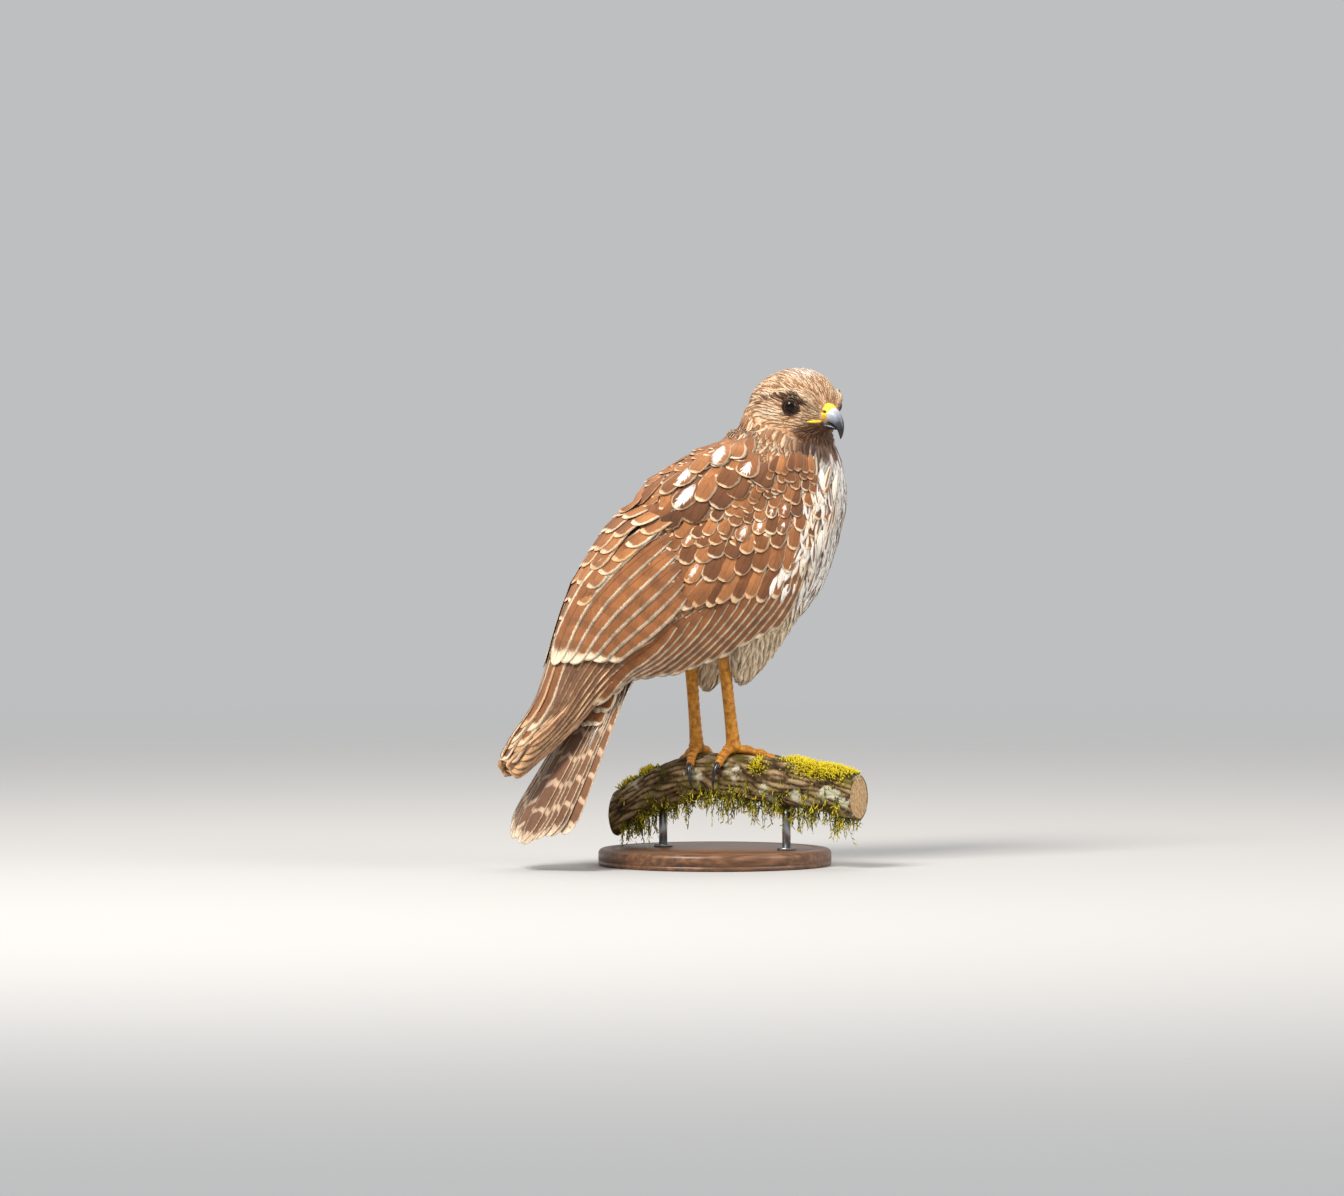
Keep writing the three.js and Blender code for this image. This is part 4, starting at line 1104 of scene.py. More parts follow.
def laid(side, kind, root, tip, low, high):
    """Spines and normals of feathers laid straight over the skin, as seen from a side and a little behind
    it: roots and tips are millimetres forward and up in that view. Depth along each feather is eased to a
    parabola."""
    v = STATIONS[kind]
    across = np.array([math.cos(VIEW_TURN), side * math.sin(VIEW_TURN), 0])
    way = np.array([math.sin(VIEW_TURN), -side * math.cos(VIEW_TURN), 0])
    flat = root[:, None] + (tip - root)[:, None] * v[:, None]
    level = flat[..., :1] * across + flat[..., 1:] * UP
    middle = level + way * (flat[..., :1] * math.tan(VIEW_TURN))
    starts = level - 300 * way
    depth, normal = skin_surface.depth(starts, way, middle)
    powers = np.stack([v**0, v, v**2], -1)
    fitted = np.einsum("vw,nw->nv", powers @ np.linalg.pinv(powers), depth)
    fitted = fitted - np.maximum(fitted - depth, 0).max(1, keepdims=True) * 0.7
    normal = unit(normal + normal.mean(1, keepdims=True))
    lift = low + (high - low) * v
    return starts + way * fitted[..., None] + normal * lift[..., None], normal


def row_of(line, count, shift=0.0):
    """Even places along a line through a few points, shifted by a share of their spacing, and their share
    along it."""
    dense = rows_at(line, even(line, 200))
    run = travelled(dense)
    share = np.clip((np.arange(count) + 0.5 + shift) / count, 0, 1)
    return np.stack([np.interp(share * run[-1], run, dense[:, k]) for k in range(2)], -1), share


def fall_way(degrees):
    """Ways in the side view, down and turned back by degrees."""
    turn = np.radians(degrees)
    return np.stack([-np.sin(turn), -np.cos(turn)], -1)


# White marks on the upperparts: millimetres forward and up in the side view, and size
WHITE_MARKS = [
    (-19, 180, 0.9), (12, 180, 0.8), (23, 187, 0.9), (37, 191, 0.9), (61, 188, 0.8), (-19, 159, 0.8),
    (56, 209, 0.8), (47, 204, 0.9), (-27, 228, 1.5), (-18, 216, 1.7), (19, 240, 1.3), (-5, 248, 1.4),
    (5, 238, 1.6), (-90, 182, 1.2), (-96, 140, 1.1), (-92, 129, 1.0),
]


def mark_on(root, tip):
    """Size of the white mark that falls on each feather, or -1 where there is none."""
    marks = np.array(WHITE_MARKS)
    middle = root + (tip - root) * 0.7
    distance = np.linalg.norm(middle[:, None] - marks[None, :, :2], axis=-1) / (4 + 3.2 * marks[:, 2])
    return np.where(distance.min(1) < 1, marks[np.argmin(distance, axis=1), 2], -1)


def laid_row(side, line, count, length, width, turn, reach, shift, low, tones, rise=2.5, front=1.0, soft=0.0):
    """A row of rounded feathers with its tips on a line, pointing down and back by the angles turn at its
    two ends. Those at its front end are shorter by a share. Above zero, soft brings the fringes nearer to
    the centres."""
    c = COLOURS
    tip, share = row_of(line, count, shift)
    way = fall_way(turn[0] + (turn[1] - turn[0]) * share + random.normal(0, 5, count))
    length = length * random.uniform(0.92, 1.08, count) * (front + (1 - front) * smooth(0, 0.45, share))
    tip = tip + random.normal(0, 1.5, tip.shape)
    root = tip - way * length[:, None]
    spine, normal = laid(side, "round", root, tip, low, low + rise)
    tone = tones[0] + (tones[1] - tones[0]) * random.random(count)
    centre = mix(mix(c["dark"], c["mantle"], np.clip(2 * tone, 0, 1)), c["warm"], np.clip(2 * tone - 1, 0, 1))
    rim = mix(blend("fringe", "cream", count), centre, soft)
    width = width * random.uniform(0.86, 1.12, count)
    reach = reach + random.normal(0, 0.04, count)
    spot = mark_on(root, tip)
    form = {"spot": spot, "across": 7, "thick": 0.5, "arch": 0.16, "roll": 3 * side, "fray": 0.13}
    return feathers("round", spine, normal, width, centre, rim, reach, **form)


# Rows of scapulars, from the lowest: the tips' line, how many, length, width, angles from straight down at
# its two ends, share of brown, shift, range of tone
SCAPULAR_LINES = [
    (
        [(40, 229), (28, 222), (10, 211), (-10, 198), (-39, 186), (-70, 171), (-86, 160)],
        *(7, 40, 25, (18, 52), 0.87, 0, (0, 0.35)),
    ),
    (
        [(38, 240), (22, 232), (4, 222), (-13, 213), (-39, 202), (-66, 189), (-90, 174)],
        *(7, 36, 22, (20, 54), 0.84, 0.4, (0.2, 0.8)),
    ),
    (
        [(24, 246), (10, 243), (-8, 236), (-34, 222), (-60, 209), (-82, 195)],
        *(7, 32, 20, (22, 56), 0.82, 0, (0.3, 0.9)),
    ),
]
# Rows of the mantle, over the back's middle: share of the way out, first and last trunk row, step, width,
# length
MANTLE_ROWS = [
    (0.6, 2.6, 6.9, 0.42, 18, 30),
    (0.4, 2.6, 7.2, 0.40, 17, 29),
    (0.2, 2.7, 7.4, 0.36, 16, 28),
    (0.0, 2.8, 7.6, 0.34, 15, 26),
]
# Degrees from the back's middle to the mantle's edge at rows of the trunk
MANTLE_EDGE = ([2.5, 4, 6, 7.6], [66, 66, 44, 32])


def build_scapulars():
    """The mantle and the big rounded scapulars, in rows that fan out from the back's middle over the wings'
    tops."""
    batches = []
    for side in SIDES.values():
        for number, row in enumerate(SCAPULAR_LINES):
            batches.append(laid_row(side, *row[:-1], 2.0 + 0.35 * number, row[-1], rise=2.6, front=0.5))
    for number, (share, first, last, step, width, length) in enumerate(MANTLE_ROWS):
        rows = np.arange(first + (number % 2) * step / 2, last, step)
        count = len(rows)
        for side in SIDES.values() if share else (1,):
            angle = np.radians(np.interp(rows, *MANTLE_EDGE) * share) * side
            middle, _, back = trunk_frame(rows)
            reach = rows_at(TRUNK, rows)
            rise = np.abs(np.cos(angle)) ** (2 / TRUNK_POWER)
            out = np.sign(side) * np.abs(np.sin(angle)) ** (2 / TRUNK_POWER)
            roots = middle + back * (rise * reach[:, 2])[:, None] + np.outer(out * reach[:, 4], LEFT)
            roots = roots + random.normal(0, 1, roots.shape)
            size = length * random.uniform(0.92, 1.08, count)
            spine, normal = flowing(roots, size, "round", 1.4, 3.6, 6)
            centre = blend("mantle", "warm", count)
            rim = blend("fringe", "cream", count)
            marked = (random.random(count) < 0.15) & (share > 0.1)
            spot = np.where(marked, random.uniform(0.8, 1.4, count), -1)
            wide = width * random.uniform(0.92, 1.1, count)
            form = {"spot": spot, "across": 7, "thick": 0.5, "arch": 0.22, "roll": 3 * side, "fray": 0.05}
            batches.append(feathers("round", spine, normal, wide, centre, rim, 0.82, **form))
    put_feathers("scapulars", batches, plume_material("Scapular_feathers"))


# Rows of wing coverts, from the greater ones up to the wrist, as the scapulars' lines without tones
COVERT_LINES = [
    ([(53, 131), (14, 129), (-21, 123), (-63, 114), (-98, 102)], 14, 42, 16, (24, 46), 0.78, 0.0),
    ([(69, 153), (28, 154), (-7, 146), (-46, 144), (-80, 140)], 11, 34, 18, (16, 42), 0.82, 0.3),
    ([(79, 170), (35, 170), (-2, 163), (-36, 159), (-66, 158)], 11, 29, 16.5, (14, 40), 0.82, -0.2),
    ([(87, 183), (42, 184), (7, 177), (-21, 173), (-52, 171)], 12, 25, 14, (10, 38), 0.8, 0.3),
    ([(92, 196), (48, 197), (17, 190), (-8, 185), (-38, 183)], 12, 22, 13, (8, 36), 0.79, -0.2),
    ([(94, 207), (55, 209), (29, 202), (8, 197), (-15, 194)], 11, 20, 12.5, (6, 34), 0.78, 0.3),
    ([(92, 217), (61, 219), (42, 213), (25, 209), (6, 205)], 10, 18, 11.5, (2, 30), 0.78, -0.2),
    ([(87, 226), (69, 229), (55, 226), (42, 220), (28, 214)], 10, 16, 10, (-2, 26), 0.76, 0.3),
    ([(82, 234), (68, 237), (54, 234), (42, 229)], 9, 16, 9, (-2, 26), 0.74, 0.0),
]
# Primaries, secondaries and tertials by wing row and share down the wing: how many, first root, last root,
# first tip, last tip, width, height at root and tip, centre, rim, share of centre, roll
FLIGHT_FEATHERS = [
    (9, (5.9, 0.88), (4.8, 0.24), (11.3, 0.7), (9.3, 0.06), 19, 0.2, 1.7, "primary", "fringe", 0.84, 4),
    (13, (1.9, 0.82), (5.4, 0.66), (3.7, 1.08), (8.3, 0.97), 19, 0.6, 2.4, "mantle", "cream", 0.8, 9),
    (6, (4.3, 0.02), (4.9, 0.5), (8.2, -0.02), (7.25, 0.6), 22, 2.4, 4.4, "tertial", "cream", 0.76, 4),
]
WING_BED_LENGTH = 14.0
WING_BED_WAY = unit(np.array([-0.62, 0, -0.6]))


def wing_bed(side):
    """Small feathers all over a wing, under the coverts."""
    v = STATIONS["round"][:, None]
    roots = coat_roots(lambda u: wing_rings(side, u), 0.05, 8.6, lambda u: 5.2 + 0.5 * u)
    place, normal, _ = skin_surface.nearest(roots)
    way = along_skin(WING_BED_WAY, normal)
    found, normal, _ = skin_surface.nearest(place[:, None] + way[:, None] * WING_BED_LENGTH * v)
    tone = 1 + random.normal(0, 0.06, (len(roots), 1))
    roll = random.normal(0, 4, len(roots))
    centre, rim = (COLOURS[key] * tone for key in ("warm", "fringe"))
    spine = found + normal * (0.1 + 0.8 * v)
    return feathers("round", spine, normal, 0.62 * WING_BED_LENGTH, centre, rim, 0.68, roll=roll)


def build_wings():
    """Both folded wings: a bed of small feathers, then coverts, secondaries, tertials and primaries."""
    coverts = plume_material("Wing_covert_feathers")
    bars = (6, 0.6, 0.15, 0.3, FLIGHT_BAR, 1.2, 5)
    barred = plume_material("Barred_flight_feathers", bars, barb=1.2, shaft=0.45, shade=(1.05, 0.95))
    v = STATIONS["long"]
    for name, side in SIDES.items():
        batches = [wing_bed(side)]
        for number, row in enumerate(COVERT_LINES):
            soft = 0.6 * float(smooth(4, 8, number))
            batches.append(laid_row(side, *row, 1.0 + 0.07 * number, (0.15, 0.95), soft=soft))
        put_feathers(f"coverts_{name}", batches, coverts)
        flight = []
        for count, root0, root1, tip0, tip1, width, low, high, centre, rim, reach, roll in FLIGHT_FEATHERS:
            root, tip = np.linspace(root0, root1, count), np.linspace(tip0, tip1, count)
            tip = tip + (tip - root) * random.normal(0, 0.012, (count, 1))
            place = root[:, None] + (tip - root)[:, None] * v[:, None]
            normal = wing_normal(side, place[..., 0], place[..., 1])
            lift = low + (high - low) * v
            spine = wing_point(side, place[..., 0], place[..., 1]) + normal * lift[:, None]
            tone = random.uniform(0.86, 1.14, (count, 1))
            centre, rim = COLOURS[centre] * tone, COLOURS[rim] * tone
            form = {"across": 7, "thick": 0.5, "arch": 0.1, "roll": roll * side, "fray": 0.03}
            flight.append(feathers("long", spine, normal, width, centre, rim, reach, **form))
        put_feathers(f"flight_feathers_{name}", flight, barred)
    put_feathers("rump_feathers", rump_rows(), coverts)


# Rows of the rump: first and last wing row and the step, from the tail up, and the length and width of a
# feather. The long rows lie like inner wing feathers over the tail: wing row and length
RUMP_ROWS = (6.95, 3.6, -0.38)
RUMP_LENGTH = 36
RUMP_WIDTH = 23
RUMP_LONG = [(9.2, 58), (8.5, 74), (7.8, 84), (7.2, 88)]


def rump_rows():
    """Rows of feathers that bridge the two wings' upper edges from the back down to the tail, highest row
    last."""
    batches = []
    for row, length in RUMP_LONG + [(row, RUMP_LENGTH) for row in np.arange(*RUMP_ROWS)]:
        kind, brown = ("round", "warm") if length == RUMP_LENGTH else ("long", "primary")
        v = STATIONS[kind]
        pace = np.linalg.norm(wing_point(1, row + 0.5, 0.0) - wing_point(1, row - 0.5, 0.0))
        rows = np.clip(row + v * length / pace, 0, len(WING) - 1)
        left, right = wing_point(1, rows, 0 * v), wing_point(-1, rows, 0 * v)
        half = left[0, 1]
        count = max(3, int(half / 5.5))
        across = (np.linspace(-1, 1, count) + random.normal(0, 0.04, count))[:, None]
        up = np.cross(unit(np.gradient(left * (1, 0, 1), axis=0)), LEFT)
        up = up * np.where(up[:, 2:] < 0, -1, 1)
        hump = 9 * np.exp(-(((rows - 4.7) / 0.9) ** 2))
        rise = 1.5 + (0.16 * half + hump) * (1 - across**2) + 2.2 * v
        lean = unit(up + LEFT * 0.5 * across[..., None])
        spine = right + (left - right) * (across[..., None] + 1) / 2 + lean * rise[..., None]
        centre, rim = blend("mantle", brown, count), blend("fringe", "cream", count)
        form = {"across": 7, "thick": 0.5, "arch": 0.16, "fray": 0.06}
        batches.append(feathers(kind, spine, lean, RUMP_WIDTH, centre, rim, 0.74, **form))
    return batches


def build_tail():
    """Twelve banded tail feathers, fanned and stacked from the middle out, and the coverts over and under
    their roots."""
    bands = (7.25, -38.2, 0.6, 0.72, TAIL_BAND, -1.6, 0.9)
    v = STATIONS["long"]
    place = np.linspace(-1, 1, TAIL_FEATHERS) + random.normal(0, 0.04, TAIL_FEATHERS)
    length = TAIL_LENGTH * random.uniform(0.97, 1.0, TAIL_FEATHERS) - TAIL_SHORTER * place**2
    distance = TAIL_START + (length[:, None] - TAIL_START) * v
    sideways = place[:, None] * (TAIL_HALF[0] + (TAIL_HALF[1] - TAIL_HALF[0]) * v)
    lift = -0.6 * np.abs(np.arange(TAIL_FEATHERS) - (TAIL_FEATHERS - 1) / 2)[:, None]
    spine = tail_point(distance, sideways, lift)
    normal, width = TAIL_UP + 0 * spine, TAIL_VANE + TAIL_OVERLAP
    form = {"across": 9, "thick": 0.5, "arch": 0.06, "roll": -4 * np.sign(place), "fray": 0.04}
    batch = feathers("long", spine, normal, width, COLOURS["tail"], COLOURS["cream"], 0.9, **form)
    material = plume_material("Banded_tail_feathers", bands, barb=1.2, shaft=0.4)
    put_feathers("tail_feathers", [batch], material)
    batches = []
    for way, (kind, first, start, length, height, more, reach) in TAIL_COVERTS.items():
        v = STATIONS[kind]
        for row in range(TAIL_COVERT_ROWS):
            count = first + row
            place = np.linspace(-1, 1, count)[:, None]
            distance = start - 17 * row + length * random.uniform(0.86, 1.14, (count, 1)) * v
            lift = (height + more * row) * np.sqrt(1.02 - (0.85 * place) ** 2) + 1.32 * (1 - v)
            spine = tail_point(distance, place * (15 + 2 * row + 4 * v), way * lift)
            lean = unit(way * TAIL_UP + TAIL_LEFT * 0.6 * place[..., None] + 0 * spine)
            centre = blend("mantle", "warm", count) if way > 0 else COLOURS["cream"]
            rim = COLOURS["cream" if way > 0 else "white"]
            form = {"across": 5, "arch": 0.25, "roll": 2 * np.sign(place[:, 0])}
            batches.append(feathers(kind, spine, lean, TAIL_COVERT_WIDTH, centre, rim, reach, **form))
    put_feathers("tail_coverts", batches, plume_material("Tail_covert_feathers", barb=1.1))


EYE_POINTS = 48
CORNEA = 0.7
LID = (0.6, 0.9)


def build_eyes():
    """Each eye is a ball with a raised cornea: its radius grows towards the way it looks. Lids are a rolled
    rim."""
    # a taxidermist's glass eye: near-black pupil, dark brown iris, all under one clear glossy coat
    glass = Finish("Glass_eye", Roughness=0.5, Specular_IOR_Level=0.0)
    glass.set(Coat_Weight=0.8, Coat_IOR=1.38, Coat_Roughness=0.02)
    stops = [(0.0, "#020202"), (0.2, "#030202"), (0.225, "#2c190b"), (0.36, "#3d2510")]
    stops += [(0.41, "#120a05"), (0.6, "#0c0806")]
    glass.set(Base_Color=glass.ramp(glass.attribute("polar"), stops))
    # lids of bare dark skin, matt with a little shine
    tones = ["#1c120b", "#33241a", "#54402c"]
    skin = mottled("Eyelid_skin", tones, 900, 3, (0.45, 0.65), 0.4, 0.0004, Specular_IOR_Level=0.35)
    turn = turns(EYE_POINTS)
    for name, side in SIDES.items():
        look, up, middle = eye_look(side), HEAD_AXES[2], eye_middle(side)
        round_it = np.outer(np.cos(turn), up) + np.outer(np.sin(turn), np.cross(look, up))
        at = lambda angle: np.cos(angle)[..., None] * look + np.sin(angle)[..., None] * round_it
        angle = np.linspace(0.03, math.pi - 0.03, 40)
        radius = EYE_RADIUS + CORNEA * smooth(0.75, 0.2, angle)
        rings = middle + radius[:, None, None] * at(angle[:, None] + 0 * turn)
        polar = np.concatenate([np.repeat(angle, EYE_POINTS), [0, math.pi]]) / math.pi * 1.6
        put(f"glass_eye_{name}", closed_tube(rings), glass.material, [f"eye_{name}"], {"polar": polar})
        # the lids' rim: an ellipse on the ball, flatter above, where the upper lid hoods the eye
        opening = np.radians(np.where(np.cos(turn) > 0, 40, 44) + 6 * np.abs(np.sin(turn)))
        outward = at(opening)
        path = middle + (EYE_RADIUS + 0.35) * outward
        along = unit(np.roll(path, -1, 0) - np.roll(path, 1, 0))
        spin = turns(10)[:, None]
        beside = np.cross(along, outward)
        high, wide = LID[0] * np.cos(spin), LID[1] * np.sin(spin)
        points = path[:, None] + high * outward[:, None] + wide * beside[:, None]
        quads = grid_quads(*points.shape[:2], close=1)
        points = points.reshape(-1, 3)
        a, b, c = points[quads[0, :3]]
        if np.cross(b - a, c - a) @ (a - path[0]) < 0:
            quads = quads[:, ::-1]
        put(f"eyelids_{name}", (points, quads, NO_TRIANGLES), skin.material)


def bill_rings(table, u, grow=0, count=40):
    """Rings of a bill: ovals along its middle line."""
    rows = rows_at(table, u)
    path = from_head(flat_point(rows[:, 0], rows[:, 1]))
    return tube(path, rows[:, 2] + grow, rows[:, 3] + grow, HEAD_AXES[1], count, 1.9)


def cere_finish(name):
    """Waxy yellow skin with a soft gloss."""
    tones = ["#d9a514", "#f0c92c", "#f7dc58"]
    return mottled(name, tones, 420, 4, (0.34, 0.5), 0.25, 0.0004, Specular_IOR_Level=0.5)


def build_bill():
    """The hooked upper bill, the lower bill, the soft cere with its nostrils, and the yellow corners of the
    mouth."""
    # keratin: blue-grey at the base to near black at the hook, with faint growth lines and a low gloss
    horn = Finish("Bill_horn", Roughness=0.32, Coat_Weight=0.25, Coat_Roughness=0.2)
    lines = horn.noise(500, 3)
    stops = [(0.1, "#c3c4cb"), (0.3, "#8d92a2"), (0.5, "#3c3d45"), (0.68, "#141317")]
    colour = horn.ramp(horn.times(lines, 0.12, horn.attribute("reach")), stops)
    horn.set(Base_Color=colour, Normal=horn.bump(lines, 0.15, 0.0003))
    fine = even(UPPER_BILL, 200)
    split = np.interp(CERE_END, rows_at(UPPER_BILL, fine)[:80, 0], fine[:80])
    u = np.linspace(split - 0.1, len(UPPER_BILL) - 1, 60)
    shape = closed_tube(bill_rings(UPPER_BILL, u, -0.25 * smooth(split + 0.4, split, u)))
    reach = np.concatenate([np.repeat((u - u[0]) / (u[-1] - u[0]), 40), [0, 1]])
    put("bill_upper_horn", shape, horn.material, ["bill_upper"], {"reach": reach})
    u = even(LOWER_BILL, 40)
    reach = np.concatenate([np.repeat(0.2 + 0.5 * u / u[-1], 40), [0.2, 0.7]])
    shape = closed_tube(bill_rings(LOWER_BILL, u))
    put("bill_lower_horn", shape, horn.material, ["bill_lower"], {"reach": reach})
    u = np.linspace(0, split + 0.02, 60)
    swell = 0.55 * smooth(split + 0.05, split - 0.35, u)
    vertices, quads, fans = closed_tube(bill_rings(UPPER_BILL, u, swell, 64))
    places = to_head(vertices)
    across, tall = ((places[:, k] - NOSTRIL_AT[n]) / NOSTRIL_REACH[n] for n, k in enumerate((0, 2)))
    nostril = np.where(np.abs(places[:, 1]) > 3, np.exp(-((across**2 + tall**2) ** 1.6)), 0)
    vertices = vertices - np.outer(NOSTRIL_DEPTH * nostril * np.sign(places[:, 1]), HEAD_AXES[1])
    cere = cere_finish("Cere_with_nostrils")
    # painted shade: each nostril is only a shallow dent, coloured near-black as if it were a deep opening
    cere.set(Base_Color=cere.mix(cere.attribute("painted_nostril_shade"), cere.linked("Base Color"), linear("#2a1a08")))
    attributes = {"painted_nostril_shade": smooth(0.35, 0.8, nostril)}
    put("cere_skin", (vertices, quads, fans), cere.material, ["cere"], attributes)
    parts = []
    for side in SIDES.values():
        spots = []
        for forward, degrees in GAPE:
            row = rows_at(SKULL, np.interp(forward, [r[0] for r in SKULL], np.arange(len(SKULL))))
            sin, cos = math.sin(math.radians(degrees)), math.cos(math.radians(degrees))
            tall = row[2] if cos > 0 else row[3]
            spots.append((forward, side * (row[4] + 0.6) * sin, row[1] + (tall + 0.6) * cos))
        thin = 0.35 + 0.9 * np.sin(np.linspace(2.2, 0.25, 24))
        path = from_head(rows_at(spots, even(spots, 24)))
        parts.append(closed_tube(tube(path, thin, 1.3 * thin, HEAD_AXES[1], 12)))
    put("mouth_corners", joined(parts), cere_finish("Waxy_cere_skin").material)


def scaled_skin():
    """Leg skin: yellow plates and small scales with darker seams between them."""
    tones = ["#96560c", "#c88320", "#e2a63c"]
    f = mottled("Scaled_leg_skin", tones, 260, 4, (0.42, 0.6), 0.3, 0.0005, Specular_IOR_Level=0.45)
    place = add(f.tree, "TexCoord").outputs["Object"]
    scales = add(f.tree, "TexVoronoi", {"Vector": place, "Scale": 620}, feature="DISTANCE_TO_EDGE")
    raised = f.step(scales.outputs["Distance"], 0, 0.09)
    relief = f.bump(raised, 0.5, 0.0004, Normal=f.linked("Normal"))
    f.set(Normal=relief, Base_Color=f.mix(f.attribute("groove"), f.linked("Base Color"), linear("#7a4408")))
    return f.material


def plate_grooves(seam, count):
    """Grooves of rings with plates on their front or top: 1 where a seam crosses it."""
    return np.concatenate([np.outer(seam, np.clip(np.cos(turns(count)), 0, 1)).ravel(), [0, 0]])


def build_legs():
    """Shanks with a row of overlapping plates down the front, toes with plates on top and pads below, and
    talons."""
    scaled = scaled_skin()
    # talons: black horn with a clear gloss
    tones = ["#0d0c0d", "#1d1b1e", "#37343a"]
    claw = mottled("Talon_horn", tones, 300, 3, (0.2, 0.35), 0.1, 0.0003, Coat_Weight=0.3)
    for name in SIDES:
        top, foot = np.array(ANKLE[name], float), on_perch(FOOT_ALONG[name], 0, 6)
        down = unit(foot - top)
        front = unit(np.array([1, 0, 0]) - down * down[0])
        share = np.linspace(-0.12, 1.04, 150)
        path = top + (foot - top) * share[:, None]
        share = np.clip(share, 0, 1)
        plates = (share * 14) % 1
        radius = SHANK_RADIUS + 1.3 * np.abs(2 * share - 1) ** 3
        reach = np.stack([radius + 0.2 + 0.7 * plates**2, radius, radius], -1)
        parts = [closed_tube(oval(path, front, np.cross(front, down), reach, 28))]
        grooves = [plate_grooves(plates < 0.14, 28)]
        claws = []
        for left, right, length, thick, thin, claw_length in TOES.values():
            turn = math.radians(right if name == "right" else left)
            lie = lambda d, h: on_perch(FOOT_ALONG[name] + d * math.cos(turn), d * math.sin(turn), h)
            run = np.linspace(-0.05, 1.06, 90)
            share = np.clip(run, 0, 1)
            plates = (share * length / 2.6) % 1
            radius = thick + (thin - thick) * share + 0.35 * np.cos(6 * np.pi * share)
            radius = radius * np.sqrt(np.clip(1 - (np.clip(run - 0.9, 0, 1) / 0.17) ** 2, 0.05, 1))
            path = lie(run * length, radius * 0.8 + 0.3)
            along = unit(np.gradient(path, axis=0))
            up = along_skin(lie(run * length, 10 + 0 * run) - lie(run * length, 0 * run), along)
            reach = np.stack([radius + 0.5 * plates**2, radius * 0.85, radius], -1)
            parts.append(closed_tube(oval(path, up, np.cross(along, up), reach, 24)))
            grooves.append(plate_grooves(plates < 0.16, 24))
            share = np.linspace(0, 1, 30)
            rise = thin + 4.2 * np.sin(np.pi * share * 0.78) - 1.6 * share
            radius = 2.8 * (1 - share) ** 0.75 + 0.12
            path = lie(length - 2.5 + share * claw_length, rise)
            claws.append(closed_tube(tube(path, radius, 0.82 * radius, np.cross(PERCH_SIDE, PERCH_WAY), 16)))
        turn = np.linspace(0.05, np.pi - 0.05, 20)
        ball = foot + np.outer(6.6 * np.cos(turn), UP)
        parts.append(closed_tube(oval(ball, (1, 0, 0), LEFT, np.stack([6.8 * np.sin(turn)] * 3, -1), 28)))
        grooves.append(np.zeros(20 * 28 + 2))
        replaced = [f"leg_{name}", f"foot_{name}"]
        attributes = {"groove": np.concatenate(grooves)}
        put(f"leg_and_toes_{name}", joined(parts), scaled, replaced, attributes)
        replaced = [f"talon_{name}_{which}" for which in TOES]
        put(f"talons_{name}", joined(claws), claw.material, replaced)


def perch_grid(along, angle, height):
    """Points on the branch by distance along it and angle round it from its top."""
    return on_perch(along, angle * PERCH_RADIUS, height)


def bark_finish():
    """Dry grey-brown bark: dark in its cracks, paler on its plates, with crusts of lichen and a film of
    green."""
    f = Finish("Mossy_bark", Roughness=0.88, Specular_IOR_Level=0.25)
    fine = f.noise(260, 6, 0.65)
    stops = [(0.3, "#1f150a"), (0.55, "#4a3820"), (0.8, "#7a6344"), (1.0, "#a08a68")]
    colour = f.ramp(f.times(fine, 0.7, f.attribute("relief")), stops)
    lichen = f.mix(fine, linear("#8f9472"), linear("#d9d3bf"))
    colour = f.mix(f.step(f.noise(42, 5, 0.6), 0.56, 0.62), colour, lichen)
    colour = f.mix(f.step(f.noise(60, 4), 0.5, 0.66, end=0.75), colour, linear("#5c5412"))
    f.set(Base_Color=colour, Normal=f.bump(fine, 0.7, 0.0012))
    return f.material


# A cut end, from its middle out: radius, and how far it stands past the branch's end
CUT_END = [(0.2, 0.5), (5, 0.5), (10, 0.5), (14, 0.5), (16.6, 0.45), (17.2, 0.2), (17.2, -0.6)]


